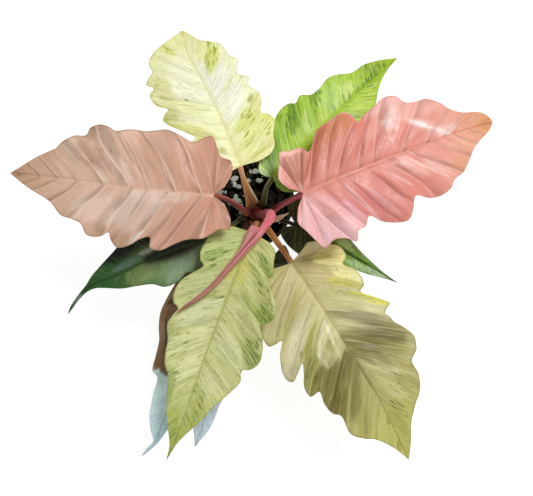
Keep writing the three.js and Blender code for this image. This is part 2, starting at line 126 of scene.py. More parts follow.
# Some patches and streaks are painted shadows, painted shade and painted highlights, marked where they
# stand, and pleat_shade is how strong the painted shade on the far side of each vein is.
# Each leaf is described flat, looking down on it, with x from the petiole joint to the tip and y to
# the left. rib is the midrib, left and right are the two margins from the back of the basal lobe to
# the last point before the tip. veins lists where the main side veins leave the midrib on the left
# and on the right, and below 0 how far back in the basal lobe they run. Colours are as seen in
# daylight: along holds the colours from the joint to the tip, and each patch is a colour, the place
# of its middle as a vein's root and the share of the way to the margin (left is positive), its
# reach both ways and its strength. flecked holds the same without a colour. A streak is a colour,
# its start and end in the flat outline, half its width and its strength.
# base and tip are the ends of the leaf in the scene, reach is the length in the flat outline that
# spans them, and roll turns the leaf about that line, in degrees. arch, fold, cup, wave and pleat are
# heights of its bends, and sweep is how far forward a side vein runs for its way across. A petiole
# leaves the stem at a share of its height and a turn about it in degrees, with half the width and
# depth of its foot and half the width of its sheath. broad, fine, light, fleck and vein are colours
# with their strengths, and calm weakens fibres, mottling and fine lines. stalk holds the colours of
# the petiole's foot, middle, top and other side.
LEAVES = [dict(
    name="dusty_pink", slot="leaf_dusty_pink", stalk_slot="petiole_red", base=(-24, -20, 252),
    tip=(-238, 10, 214), reach=205, roll=-3, sweep=0.62, arch=10, fold=5, cup=9, wave=3.5, wave_count=3.5,
    wave_phase=0.1,
    rib=[(0, 0), (60, 2), (125, 1), (205, 0)],
    left=[
        (-11, 7), (-18, 20), (-18, 30), (-8, 32), (-2, 37), (5, 42), (20, 45), (33, 51), (46, 58), (54, 57),
        (55, 47), (63, 50), (75, 58), (88, 60), (94, 53), (96, 47), (105, 52), (116, 52), (123, 42),
        (136, 38), (145, 36), (158, 24), (180, 14), (195, 6),
    ],
    right=[
        (-9, -9), (-14, -22), (-12, -34), (-1, -38), (4, -47), (12, -58), (20, -54), (27, -49), (40, -54),
        (53, -58), (65, -57), (76, -55), (86, -55), (95, -53), (101, -51), (110, -55), (122, -57),
        (130, -53), (132, -45), (144, -43), (152, -37), (160, -28), (177, -19), (193, -8),
    ],
    petiole=dict(level=0.9, turn=172, foot=(4, 3.4), sheath=4),
    veins=(
        [-34, -16, 8, 24, 43, 60, 76, 105, 128, 150, 170],
        [-30, -12, 9, 36, 58, 81, 108, 130, 152, 172],
    ),
    along=["#cb937a", "#d0a28b", "#d7af9a", "#d6b39d", "#cda68c", "#b28c6a"],
    patches=[
        ("#d6bfad", 62, 0.4, 26, 0.4, 0.7), ("#e2c8b6", 96, 0.6, 20, 0.35, 0.6),
        ("#e6cfc0", 50, 0.1, 34, 0.14, 0.5), ("#b98f74", 30, 0.95, 10, 0.2, 0.6),
        ("#bd9a7a", 55, 1.0, 13, 0.25, 0.9), ("#c09a78", 84, 0.95, 9, 0.2, 0.6),
        ("#c09678", 42, -0.55, 8, 0.35, 0.6), ("#d6b7a2", 84, -0.4, 7, 0.35, 0.7),
        ("#a8907b", 78, -0.75, 6, 0.35, 0.6), ("#b0917a", 104, -0.6, 10, 0.35, 0.7),
        ("#b8a390", 116, -0.8, 10, 0.3, 0.6), ("#a98a6d", 88, -1.0, 11, 0.16, 0.8),
        ("#e6cbb9", 76, -0.25, 3, 0.22, 0.7), ("#e2c6b3", 103, -0.2, 3, 0.2, 0.7),
        ("#dfc3ae", 143, -0.3, 5, 0.3, 0.5), ("#c78d76", -5, -0.3, 22, 0.7, 0.4),
        ("#c98f79", 4, 0.3, 20, 0.7, 0.4), ("#a8835f", 196, 0, 12, 1.2, 0.5),
        # The first patch below, pale at 44 near the left margin, is a painted highlight, a gloss on the
        # lobe.
        ("#efe3da", 44, 0.86, 4, 0.14, 0.7), ("#8d6f58", 66, -0.7, 2, 0.3, 0.6),
        ("#8a6c58", 92, -0.5, 2, 0.3, 0.6),
    ],
    broad=("#bd907a", 0.3), fine=("#a97c66", 0.16), light=("#ebd6c9", 0.12), calm=0.55, saturation=1.0,
    fleck=("#94745f", 0.0),
    flecked=[(90, -0.6, 24, 0.45, 0.4), (125, 0.7, 14, 0.3, 0.3)],
    vein=("#eed5c6", 0.5), pleat=2.0, pleat_shade=0.32, midrib="#dcb298", edge="#9c7a5c", under="#c9a896",
    roughness=0.4,
    stalk=("#b4692f", "#6a2a22", "#7a4634", "#a04e44"),
), dict(
    name="cream", slot="leaf_cream", stalk_slot="petiole_tan", base=(2, 13, 236), tip=(-61, 165, 208),
    reach=148, roll=4, sweep=0.62, arch=9, fold=6, cup=8, wave=3, wave_count=3, wave_phase=0.4,
    rib=[(0, 0), (50, 0), (88, 2), (122, 4.5), (148, 0)],
    left=[
        (-4, 19), (-2, 30), (5, 37), (15, 40), (27, 40), (35, 36), (38, 29), (46, 35), (56, 44), (67, 50),
        (72, 45), (74, 42), (82, 51), (93, 53), (98, 47), (106, 52), (112, 47), (116, 42), (126, 42),
        (136, 31), (141, 19), (145, 8),
    ],
    right=[
        (-2, -17), (1, -30), (7, -37), (17, -40), (29, -46), (36, -43), (40, -37), (48, -41), (56, -43),
        (63, -40), (67, -36), (76, -39), (83, -31), (91, -35), (98, -37), (105, -31), (112, -30),
        (119, -27), (125, -19), (130, -12), (137, -7), (143, -4),
    ],
    petiole=dict(level=0.84, turn=118, foot=(5.5, 3.2), sheath=7.5),
    veins=([-24, -8, 8, 24, 42, 60, 78, 95, 112, 128], [-24, -8, 8, 22, 38, 54, 70, 88, 104, 120]),
    along=["#f0edb8", "#eff0c0", "#f0f1cc", "#eeefd0", "#e9eabf", "#dcdca0"],
    patches=[
        ("#f1f1e2", 58, -0.4, 22, 0.4, 0.9), ("#eeebdf", 80, -0.35, 18, 0.35, 0.8),
        ("#efeedd", 84, 0.3, 26, 0.4, 0.5), ("#cfd48e", 22, 0.75, 9, 0.35, 0.8),
        ("#c6c98e", 44, 0.95, 18, 0.18, 0.9), ("#ccd07f", 30, 0.75, 6, 0.3, 0.8),
        ("#dfe48f", 8, -0.6, 12, 0.5, 0.8), ("#cdd35f", 26, -0.55, 8, 0.35, 0.7),
        ("#bcbf62", 32, -0.85, 5, 0.16, 0.9), ("#d9de86", 12, -0.95, 16, 0.2, 0.6),
        ("#d0d672", 84, -0.65, 9, 0.35, 0.8), ("#e2e59a", 98, -0.7, 12, 0.35, 0.5),
        ("#cdd480", 110, 0.8, 5, 0.25, 0.6), ("#f2f2d4", 10, 0.4, 16, 0.3, 0.7),
        ("#dcdc8c", -6, -0.65, 9, 0.3, 0.8), ("#d3d08c", 28, 0.5, 7, 0.25, 0.8),
        ("#e6e3ac", 54, 0.5, 8, 0.25, 0.6), ("#d3d098", 64, 0.85, 12, 0.22, 0.85),
        ("#a5a64c", 35, -0.8, 3, 0.1, 1.0), ("#b7b95c", 14, 0.3, 3, 0.12, 0.8),
        # The first patch below, dark at 55 on the left margin, is a painted shadow under a lobe's fold.
        ("#aeac62", 55, 1.0, 8, 0.08, 0.8), ("#b3b06a", 36, 1.0, 8, 0.1, 0.8),
        ("#bcb66e", 147, 0.3, 6, 0.9, 0.6),
    ],
    # These streaks are painted shadows, thin dark lines under the folds of the lobes.
    streaks=[
        ("#8d8c4a", 89, 49, 80, 33, 1.3, 0.8), ("#9a9856", 67, 46, 57, 32, 1.5, 0.7),
        ("#a3a25e", 74, 30, 68, 20, 1.2, 0.6),
    ],
    broad=("#dfe2a4", 0.45), fine=("#a9b558", 0.55), light=("#f7f6e4", 0.3), pleat=1.1,
    fleck=("#93a03c", 0.15), calm=0.2,
    flecked=[
        (68, 0.4, 10, 0.3, 0.45), (112, 0.8, 4, 0.22, 0.95), (30, -0.6, 7, 0.25, 0.9),
        (86, -0.7, 10, 0.35, 1.0), (14, 0.7, 12, 0.25, 0.6), (10, -0.6, 16, 0.4, 0.6),
        (66, 0.9, 14, 0.15, 0.6),
    ],
    vein=("#dad79e", 0.45), midrib="#e4e0a6", edge="#c9c28a", under="#dcdcae", roughness=0.42,
    stalk=("#d8a268", "#d09a5e", "#cb9876", "#d8a26c"),
    stalk_margin="#f0dcc8",
), dict(
    name="lime", slot="leaf_lime", stalk_slot="petiole_olive", base=(35, 4, 222), tip=(169, 139, 194),
    reach=172, roll=-4, sweep=0.6, arch=9, fold=7, cup=9, wave=3, wave_count=3, wave_phase=0.7,
    rib=[(0, 0), (80, 1), (172, 0)],
    left=[
        (-4, 5), (-5, 12), (2, 19), (12, 21), (22, 23), (32, 31), (42, 38), (55, 41), (62, 39), (66, 35),
        (74, 37), (82, 30), (92, 29), (104, 31), (114, 28), (126, 19), (140, 17), (156, 10),
    ],
    right=[
        (-4, -9), (-3, -17), (3, -24), (9, -31), (18, -36), (30, -41), (42, -43), (53, -41), (59, -34),
        (66, -36), (76, -37), (85, -33), (91, -24), (100, -21), (117, -20), (128, -13), (142, -6),
        (157, -2),
    ],
    petiole=dict(level=0.84, turn=64, foot=(3.8, 3.2), sheath=3.8),
    veins=([-18, -6, 10, 28, 46, 62, 80, 100, 120, 140], [-26, -8, 10, 28, 46, 62, 80, 100, 120, 140]),
    along=["#8dae58", "#a5c552", "#aecb5c", "#b3d069", "#a9c64f", "#9cb544"],
    patches=[
        ("#b9c9a0", -12, 0.7, 12, 0.5, 0.9), ("#4d7031", 3, 0.55, 6, 0.5, 0.7),
        ("#5e8f3a", 14, 0.6, 6, 0.5, 0.5), ("#6f9a2e", 24, 0.7, 5, 0.4, 0.6),
        ("#c1dc87", 54, 0.35, 9, 0.25, 0.7), ("#6c8526", 38, 0.6, 7, 0.3, 0.85),
        ("#658c25", 42, 0.85, 7, 0.3, 0.9), ("#9cc054", 63, 0.5, 6, 0.3, 0.7),
        ("#b6d384", 84, 0.45, 9, 0.35, 0.75), ("#d0e090", 103, 0.4, 9, 0.3, 0.85),
        ("#6f8f2a", 66, 0.9, 6, 0.2, 0.7), ("#8fa838", 132, 0.9, 14, 0.2, 0.8),
        ("#819a30", 128, 0.1, 22, 0.16, 0.8), ("#86993a", 146, 0.5, 14, 0.4, 0.55),
        ("#cbdc74", 70, -0.6, 14, 0.5, 0.7), ("#c0d668", 110, -0.6, 18, 0.4, 0.6),
    ],
    broad=("#8fb242", 0.45), fine=("#557a20", 0.65), light=("#d6eaa6", 0.4), fleck=("#4a7320", 0.4),
    flecked=[
        (38, 0.7, 9, 0.4, 0.95), (69, 0.85, 8, 0.25, 0.9), (13, 0.45, 8, 0.35, 0.9),
        (60, -0.8, 20, 0.2, 0.7), (140, 0.4, 20, 0.6, 0.85), (112, 0.1, 18, 0.12, 0.7),
        (126, -0.5, 18, 0.5, 0.7),
    ],
    vein=("#c9dd80", 0.35), midrib="#9cb84a", edge="#7f9440", under="#8fae5a", roughness=0.42,
    stalk=("#564820", "#63603a", "#717648", "#584a20"),
), dict(
    name="rose", slot="leaf_rose", stalk_slot="petiole_red", base=(65, -19, 258), tip=(263, 60, 222),
    reach=201, roll=3, sweep=0.62, arch=10, fold=5, cup=9, wave=3.5, wave_count=3.5, wave_phase=0.3,
    rib=[(0, 0), (40, 2), (105, 3), (155, 4), (203, 2)],
    left=[
        (-11, 9), (-16, 20), (-11, 33), (-6, 44), (2, 42), (15, 41), (19, 35), (27, 42), (35, 52), (48, 56),
        (64, 59), (71, 54), (74, 46), (84, 51), (93, 54), (105, 59), (117, 57), (124, 48), (134, 46),
        (146, 45), (157, 36), (164, 27), (176, 20), (191, 16), (200, 9),
    ],
    right=[
        (-9, -11), (-14, -24), (-9, -35), (-3, -46), (4, -55), (13, -51), (23, -54), (31, -60), (36, -51),
        (44, -50), (51, -42), (62, -51), (74, -57), (84, -59), (92, -51), (99, -40), (112, -46), (125, -48),
        (135, -45), (142, -38), (152, -35), (162, -27), (172, -17), (184, -10), (195, -5),
    ],
    petiole=dict(level=0.9, turn=9, foot=(4, 3.4), sheath=4),
    veins=(
        [-28, -12, 4, 20, 36, 54, 72, 102, 124, 146, 168],
        [-34, -18, -2, 16, 33, 44, 64, 84, 112, 134, 156, 174],
    ),
    along=["#d88c7c", "#d98475", "#dc8577", "#e19182", "#eaa590", "#e2a273"],
    patches=[
        ("#b47058", -16, 0.5, 12, 0.45, 0.95), ("#f0b3a8", -24, 0.97, 14, 0.1, 0.9),
        ("#c2705a", 8, 0.5, 13, 0.4, 0.9), ("#cd7f5a", 22, 0.85, 14, 0.22, 0.95),
        ("#c87646", 14, 0.85, 10, 0.2, 0.8), ("#bb6a50", 10, 0.75, 4, 0.2, 0.7),
        ("#d0806f", 50, 0.3, 16, 0.28, 0.7), ("#e6a494", 68, 0.6, 9, 0.25, 0.7),
        ("#f6c0b8", 70, 0.95, 16, 0.16, 0.95), ("#f2b9ae", 92, 0.85, 20, 0.22, 0.8),
        ("#f3bfbf", -14, -0.6, 26, 0.7, 1.0), ("#f7c6c8", 2, -0.85, 16, 0.3, 0.9),
        ("#e3989a", 14, -0.45, 6, 0.3, 0.7), ("#f4b9bd", 20, -0.75, 5, 0.3, 0.7),
        ("#cf7c80", 25, -0.7, 3, 0.35, 0.8), ("#f3b4b4", 34, -0.6, 3, 0.5, 0.9),
        ("#cc7a7a", 42, -0.6, 4, 0.45, 0.6), ("#efadab", 50, -0.6, 3, 0.4, 0.7),
        ("#d4827c", 60, -0.6, 5, 0.5, 0.7), ("#d9958a", 78, -0.35, 6, 0.3, 0.7),
        ("#f4bcb0", 96, -0.35, 7, 0.3, 0.7), ("#f1bdb2", 111, -0.6, 7, 0.3, 0.8),
        # The first patch below, pale at 146, is a painted highlight.
        ("#f8c9c0", 146, 0.3, 9, 0.3, 0.8), ("#e0a07a", 124, -0.9, 14, 0.2, 0.7),
        ("#f0b999", 150, -0.6, 12, 0.4, 0.6), ("#dd9a66", 190, 0.5, 12, 0.8, 0.8),
        # The second patch below, pale at 82 near the left margin, is a painted highlight.
        ("#d8965f", 194, -0.3, 12, 0.8, 0.7), ("#f5d0c8", 82, 0.7, 6, 0.16, 0.6),
    ],
    streaks=[
        # The first four streaks are painted highlights, a gloss across the blade.
        ("#f6d6cf", 94, 38, 106, 28, 8, 0.6), ("#f3c4ba", 118, 32, 154, 6, 9, 0.7),
        ("#fdf1ee", 121, 29, 139, 16, 4, 1.0), ("#fbe6e0", 139, 16, 154, 5, 3.5, 0.9),
        ("#fbd9cc", 107, -6, 137, -34, 2.4, 0.7), ("#f7c9c2", 76, -5, 100, -30, 2.2, 0.5),
        ("#f6c6c0", 96, 8, 99, 46, 2.4, 0.5), ("#8e4436", 128.5, 4.5, 129, 4.5, 1.6, 1.0),
    ],
    broad=("#cf7a6c", 0.3), fine=("#b9645a", 0.12), light=("#f7c8bf", 0.08), calm=0.65, saturation=1.0,
    fleck=("#a9584a", 0.0),
    flecked=[(18, 0.8, 14, 0.3, 0.4)],
    vein=("#f9ccc0", 0.5), pleat=1.8, pleat_shade=0.24, midrib="#dc937c", edge="#e0a392", under="#c98a80",
    roughness=0.36,
    stalk=("#8a2c2e", "#6a1e20", "#541816", "#b8525c"),
), dict(
    name="pale_green", slot="leaf_pale_green", stalk_slot="petiole_tan", base=(14, -54, 228),
    tip=(-74, -283, 150), reach=238, roll=2, sweep=0.62, arch=14, fold=6, cup=9, wave=3.5, wave_count=4,
    wave_phase=0.2,
    rib=[(0, 0), (120, 0), (225, 0), (246, -2)],
    left=[
        (3, 20), (8, 28), (19, 31), (31, 35), (36, 31), (45, 39), (54, 47), (66, 51), (75, 46), (78, 40),
        (88, 46), (100, 51), (113, 53), (122, 47), (126, 39), (137, 42), (152, 36), (172, 25), (190, 18),
        (206, 10), (222, 3),
    ],
    right=[
        (1, -19), (6, -30), (18, -38), (33, -41), (41, -38), (45, -33), (58, -43), (68, -50), (80, -52),
        (88, -49), (92, -42), (101, -45), (112, -47), (124, -42), (138, -39), (149, -35), (158, -28),
        (175, -24), (194, -18), (210, -11), (227, -4),
    ],
    petiole=dict(level=0.82, turn=-106, foot=(3.8, 3.2), sheath=3.8),
    veins=(
        [-20, 2, 18, 36, 54, 72, 90, 108, 126, 146, 168, 190],
        [-24, -4, 14, 30, 48, 66, 84, 102, 120, 140, 162, 186],
    ),
    along=["#bfc277", "#c6c782", "#cacb8e", "#d2d396", "#cdd08a", "#b2bd5c", "#a0a850"],
    patches=[
        ("#d3cf6e", 30, 0.1, 18, 0.14, 0.7), ("#d3cf6e", 30, -0.1, 18, 0.14, 0.7),
        ("#8ea04a", 8, 0.85, 6, 0.4, 0.9), ("#7f9238", 24, 0.45, 4, 0.3, 0.7),
        ("#a0a358", 38, 0.7, 11, 0.35, 0.8), ("#8d9d47", 46, 0.92, 9, 0.25, 0.95),
        ("#98a552", 50, 0.55, 5, 0.35, 0.7), ("#acab6e", 71, 0.62, 10, 0.35, 0.75),
        ("#8a9447", 86, 0.88, 12, 0.3, 0.95), ("#bdc491", 106, 0.45, 12, 0.35, 0.6),
        ("#d2d199", 136, 0.5, 13, 0.4, 0.8), ("#a6ae5c", 172, 0.6, 20, 0.4, 0.5),
        ("#b9cc86", 8, -0.55, 16, 0.5, 0.8), ("#8fae55", 16, -0.75, 5, 0.25, 0.8),
        ("#c6d295", 40, -0.6, 18, 0.4, 0.7), ("#dcdfb0", 74, -0.45, 16, 0.4, 0.8),
        ("#e2e4a8", 104, -0.6, 16, 0.4, 0.9), ("#a5b263", 88, -0.95, 10, 0.12, 0.6),
        ("#e6e8ac", 136, -0.5, 15, 0.45, 0.95), ("#98a848", 205, -0.5, 24, 0.5, 0.6),
        ("#c6cd92", 190, 0.0, 14, 0.35, 0.5), ("#93a45c", 142, -0.95, 22, 0.18, 0.8),
    ],
    broad=("#a9b25e", 0.5), fine=("#788a3a", 0.55), light=("#e6e8c0", 0.28), pleat=1.4, pleat_shade=0.16,
    calm=0.25, saturation=1.02, fleck=("#5c7226", 0.35),
    flecked=[
        (10, 0.6, 7, 0.4, 1.0), (13, 0.95, 6, 0.15, 1.0), (42, 0.85, 11, 0.25, 1.0),
        (29, 0.72, 7, 0.25, 0.9), (61, -0.22, 7, 0.2, 0.9), (98, -0.65, 14, 0.3, 0.5),
        (80, 0.85, 16, 0.25, 1.0), (133, -0.7, 8, 0.2, 0.9), (175, 0.4, 30, 0.5, 0.7),
        (20, -0.7, 18, 0.3, 0.8), (164, 0.05, 10, 0.16, 0.95),
    ],
    vein=("#d9daa6", 0.35), midrib="#a9ae5e", edge="#8e9648", under="#a6ad72", roughness=0.45,
    stalk=("#8e5a3a", "#9c6a45", "#a57b52", "#8a5a34"),
), dict(
    name="olive", slot="leaf_olive", stalk_slot="petiole_tan", base=(55, -81, 190), tip=(183, -289, 128),
    reach=230, roll=3, sweep=0.8, arch=14, fold=6, cup=8, wave=3.5, wave_count=4, wave_phase=0.6,
    rib=[(0, 0), (38, 3), (97, 5), (138, 6), (172, 4), (230, 0)],
    left=[
        (-9, 24), (-5, 33), (2, 39), (10, 49), (21, 50), (26, 43), (35, 50), (46, 52), (54, 50), (57, 44),
        (71, 55), (82, 63), (84, 58), (87, 54), (92, 56), (98, 57), (109, 63), (124, 68), (130, 66),
        (135, 63), (141, 53), (156, 52), (172, 45), (184, 32), (196, 21), (212, 12),
    ],
    right=[
        (-5, -22), (0, -33), (8, -42), (20, -50), (34, -58), (48, -63), (58, -62), (59, -56), (59, -48),
        (70, -57), (84, -63), (97, -64), (101, -60), (95, -51), (88, -42), (98, -46), (111, -53),
        (120, -52), (120, -42), (132, -44), (146, -42), (153, -36), (173, -37), (184, -28), (192, -18),
        (210, -7),
    ],
    petiole=dict(level=0.82, turn=-60, foot=(4.2, 3.6), sheath=4.2),
    veins=(
        [-36, -20, -6, 8, 22, 36, 52, 70, 88, 108, 130, 152, 176],
        [-40, -22, -6, 8, 24, 40, 56, 72, 92, 112, 134, 158, 182],
    ),
    along=["#c2b884", "#cbc494", "#cdc898", "#b3ac7e", "#b0aa74", "#bdbb74", "#b3b268"],
    patches=[
        ("#f0ebb0", -24, 0.6, 12, 0.4, 1.0), ("#f2f0c0", -14, 0.85, 12, 0.28, 1.0),
        ("#f6f2ac", -6, 0.8, 10, 0.4, 1.0), ("#b9bc5c", -6, 0.5, 3, 0.2, 0.5),
        ("#f2f0b4", 9, 0.85, 8, 0.3, 0.95), ("#cfcb74", 18, 0.65, 5, 0.3, 0.8),
        ("#e0df74", 34, 0.85, 8, 0.3, 0.95), ("#cac890", 36, 0.45, 8, 0.3, 0.8),
        # The dark olive and brown patches from 60 to 120 along the blade, on both halves, are partly the
        # leaf's own darker olive and partly painted shade, the dark band across its middle.
        ("#8d8564", 60, 0.55, 8, 0.55, 0.9), ("#767150", 74, 0.7, 9, 0.45, 0.9),
        ("#a09a66", 92, 0.72, 9, 0.3, 0.85), ("#6f6a44", 88, 0.25, 14, 0.3, 0.75),
        ("#b5b384", 80, 1.0, 12, 0.14, 0.8), ("#d0cc9c", 112, 0.35, 9, 0.3, 0.75),
        ("#d2d09a", 130, 0.5, 9, 0.3, 0.7), ("#8e9148", 178, 0.5, 16, 0.4, 0.5),
        ("#c8bf98", 4, -0.5, 14, 0.5, 0.7), ("#a39a55", 20, -0.6, 5, 0.5, 0.6),
        ("#d6cfae", 36, -0.7, 9, 0.5, 0.95), ("#9c994a", 52, -0.6, 5, 0.4, 0.8),
        ("#cbc793", 60, -0.35, 7, 0.25, 0.8), ("#8a8a4a", 66, -0.8, 9, 0.35, 0.8),
        ("#76713f", 92, -0.7, 12, 0.4, 1.0), ("#d9d7ab", 76, -0.2, 10, 0.2, 0.6),
        ("#a3a268", 78, -0.24, 7, 0.13, 0.9), ("#6f6a36", 80, -0.85, 9, 0.3, 0.85),
        ("#68622f", 104, -0.85, 10, 0.3, 0.9), ("#857f4c", 120, -0.5, 12, 0.35, 0.9),
        ("#a39c62", 140, -0.75, 12, 0.3, 0.7), ("#6c6537", 107, -0.2, 14, 0.24, 0.9),
        ("#665f34", 92, -0.5, 10, 0.2, 0.6), ("#655e30", 102, -0.62, 9, 0.25, 0.6),
        ("#726c3e", 88, -0.95, 9, 0.12, 0.8), ("#7d7548", 102, 0.2, 10, 0.2, 0.9),
        ("#716a44", 92, 0.42, 8, 0.2, 0.8), ("#8d865c", 104, 0.45, 6, 0.2, 0.75),
        ("#8f8858", 92, 0.68, 7, 0.2, 0.6), ("#736d48", 82, 0.5, 7, 0.4, 0.7),
        ("#5f5c28", 94, -0.78, 10, 0.2, 0.7), ("#8a8654", 120, -0.25, 10, 0.2, 0.6),
    ],
    streaks=[
        ("#4f4722", 84, 4.8, 150, 5.6, 1.9, 0.9), ("#e9e6c4", 64, -3, 78, -17, 3, 0.85),
        ("#e6e3c0", 74, -15, 92, -25, 3.4, 0.75), ("#dedab2", 86, -24, 104, -22, 3.6, 0.6),
        ("#eeebcb", 64, -2, 86, -5, 3, 0.9), ("#e2dfba", 80, -4, 102, -7, 3.4, 0.6),
        ("#ddd9b2", 96, -8, 104, -20, 3.4, 0.45),
    ],
    broad=("#a19c5e", 0.3), fine=("#77752f", 0.3), calm=0.35, light=("#e9e4b8", 0.2), pleat=1.4,
    pleat_shade=0.16, fleck=("#6e7032", 0.1),
    flecked=[
        (10, 0.7, 40, 0.35, 0.4), (153, 0.65, 10, 0.3, 1.0), (180, -0.05, 8, 0.3, 0.9),
        (205, -0.3, 8, 0.6, 0.9), (60, -0.7, 20, 0.3, 0.7), (125, 0.6, 14, 0.4, 0.6),
    ],
    vein=("#d6cf9c", 0.45), midrib="#a89a66", rib_shown=0.45, edge="#86804c", under="#9c9566",
    roughness=0.42,
    stalk=("#b87a46", "#dc9a5c", "#c08a62", "#b07844"),
), dict(
    name="dark_left", slot="leaf_dark_green", stalk_slot="petiole_olive", base=(-25, -55, 192),
    tip=(-184, -131, 158), reach=165, roll=-6, sweep=0.6, arch=8, fold=7, cup=8, wave=2.5, wave_count=2.5,
    wave_phase=0,
    rib=[(0, 0), (30, -6), (65, -10), (105, -11), (128, -13), (146, -10), (167, 2)],
    left=[
        (-6, 6), (-10, 16), (-3, 25), (12, 27), (28, 24), (39, 18), (50, 22), (64, 21), (74, 13), (88, 8),
        (104, 3), (117, -4), (128, -9), (138, -9.5), (149, -6), (158, -2),
    ],
    right=[
        (-8, -5), (-14, -16), (-12, -30), (0, -42), (18, -46), (36, -47), (49, -41), (62, -45), (77, -42),
        (90, -35), (108, -28), (124, -22), (135, -16), (142, -13), (151, -9), (160, -4),
    ],
    petiole=dict(level=0.6, turn=-165, foot=(3, 2.8), sheath=3),
    veins=([-24, -8, 8, 24, 42, 60, 80, 100, 122], [-36, -20, -4, 12, 28, 46, 64, 84, 106, 126]),
    along=["#52694a", "#667c57", "#627a4c", "#36592d", "#264a22", "#2a461f"],
    patches=[
        ("#8ea288", 30, 0.5, 20, 0.5, 0.85), ("#7b9068", 62, 0.4, 18, 0.5, 0.8),
        ("#35512a", 88, 0.4, 16, 0.6, 0.8), ("#7f8f5c", 76, 0.5, 16, 0.5, 0.6),
        ("#8a9a94", 150, 0.0, 8, 1.2, 0.8),
    ],
    streaks=[
        # The three near-black streaks are painted shadows cast by the leaf above, and the two grey-green
        # streaks are painted highlights.
        ("#040803", 112, -31, 56, -34, 17, 1.0), ("#040803", 68, -11, 14, -4, 13, 1.0),
        ("#040803", 64, -30, 4, -20, 20, 1.0), ("#5f7a6a", 104, -16, 68, -17, 6, 0.7),
        ("#aebbb4", 72, -19, 60, -18, 4, 0.8),
    ],
    broad=("#3c5a2e", 0.12), fine=("#2c4422", 0.3), light=("#9cae90", 0.08), calm=0.5,
    fleck=("#27401c", 0.2), vein=("#8aa377", 0.1), midrib="#2e4622", edge="#304a26", under="#566c4c",
    roughness=0.4,
    stalk=("#4c4a2a", "#565631", "#5c6036", "#3c3a20"),
), dict(
    name="dark_right", slot="leaf_dark_green", stalk_slot="petiole_red", base=(60, -38, 168),
    tip=(168, -97, 150), reach=114, roll=3, sweep=0.6, arch=6, fold=6, cup=6, wave=2, wave_count=2.5,
    wave_phase=0.5,
    rib=[(0, 0), (60, 0.5), (119, 0)],
    left=[
        (-13, 8), (-18, 17), (-12, 27), (4, 31), (22, 30), (34, 26), (44, 20), (54, 14), (64, 10), (75, 7),
        (88, 4), (98, 2), (108, 1),
    ],
    right=[
        (-9, -7), (-9, -14), (0, -20), (10, -23), (22, -24), (34, -21), (46, -16), (58, -12), (68, -10),
        (78, -9), (88, -7), (99, -4), (109, -1.5),
    ],
    petiole=dict(level=0.6, turn=-24, foot=(3, 2.8), sheath=3),
    veins=([-30, -14, 4, 18, 34, 50, 68, 86], [-16, 0, 14, 30, 46, 64, 84]),
    # The near-black base, in the first two colours along the blade, and the dark brown patch at its base
    # are painted shade under the leaf above.
    along=["#1c1508", "#241f0e", "#5c7a34", "#7a9a4c", "#6f9050", "#6c8a58"],
    patches=[
        ("#3a2412", -6, 0.6, 12, 0.6, 0.7), ("#b4c888", 46, 0.6, 14, 0.5, 0.9),
        ("#8f9c78", 52, 0.95, 30, 0.2, 0.6), ("#7b9a4e", 46, -0.6, 16, 0.5, 0.8),
        ("#a9c692", 68, -0.6, 13, 0.4, 0.8), ("#b0c0a0", 92, -0.5, 14, 0.6, 0.8),
        ("#3d5a20", 62, 0.1, 34, 0.2, 0.75),
    ],
    broad=("#46602c", 0.35), fine=("#34491f", 0.4), light=("#93a766", 0.25), fleck=("#2c3f18", 0.2),
    vein=("#86a468", 0.25), midrib="#28350f", edge="#3c5026", under="#566a40", roughness=0.4,
    stalk=("#2c160f", "#351c12", "#3c2618", "#26120c"),
), dict(
    name="bronze", slot="leaf_bronze", stalk_slot="petiole_red", base=(-17, -88, 160), tip=(-109, -288, 86),
    reach=202, roll=0, sweep=0.55, arch=11, fold=6, cup=7, wave=2.5, wave_count=3, wave_phase=0.2,
    rib=[(0, 0), (70, 2), (135, 3), (170, 5), (185, 5), (203, -2)],
    left=[
        (-6, 8), (-10, 20), (-4, 31), (10, 38), (26, 40), (42, 38), (58, 38), (70, 36), (80, 30), (94, 29),
        (110, 26), (124, 23), (138, 19), (153, 15), (168, 11), (183, 7.5), (194, 2.8),
    ],
    right=[
        (-6, -8), (-11, -20), (-6, -32), (8, -37), (26, -39), (45, -41), (60, -41), (73, -37), (85, -31),
        (100, -28), (114, -25), (118, -18), (137, -15), (158, -10), (172, -3), (181, 3), (192, 0),
    ],
    petiole=dict(level=0.57, turn=-128, foot=(3, 2.8), sheath=3),
    veins=([-32, -14, 4, 22, 42, 62, 82, 104, 128, 152], [-32, -14, 4, 22, 42, 62, 82, 104, 128, 152]),
    along=["#6a5040", "#8c6e54", "#907254", "#866648", "#e6ffff", "#dcf6fa", "#cbe0e8"],
    along_at=[0, 0.25, 0.48, 0.545, 0.562, 0.8, 1],
    patches=[("#8f6a52", 40, -0.7, 22, 0.4, 0.6), ("#a58672", 60, -0.95, 16, 0.2, 0.6)],
    # Both streaks are painted shadows cast by the leaf above it.
    streaks=[("#24150e", 47, -37, 36, -27, 6, 0.9), ("#3a2419", 62, -34, 104, -12, 3, 0.8)],
    broad=("#8f7a70", 0.12), fine=("#6c5c55", 0.15), light=("#cdd3d2", 0.1), fleck=("#5c4236", 0.0),
    vein=("#a39a92", 0.2), midrib="#8a7b72", rib_shown=0.35, edge="#7a6c62", under="#8a7568", roughness=0.5,
    stalk=("#4c2c22", "#5e382a", "#6a4230", "#40241c"),
), dict(
    name="glaucous", slot="leaf_glaucous", stalk_slot="petiole_olive", base=(24, -78, 140),
    tip=(-50, -278, 76), reach=209, roll=0, sweep=0.55, arch=10, fold=6, cup=6, wave=2, wave_count=3,
    wave_phase=0.6,
    rib=[(0, 0), (50, -6), (130, -6), (183, -2), (210, -2)],
    left=[
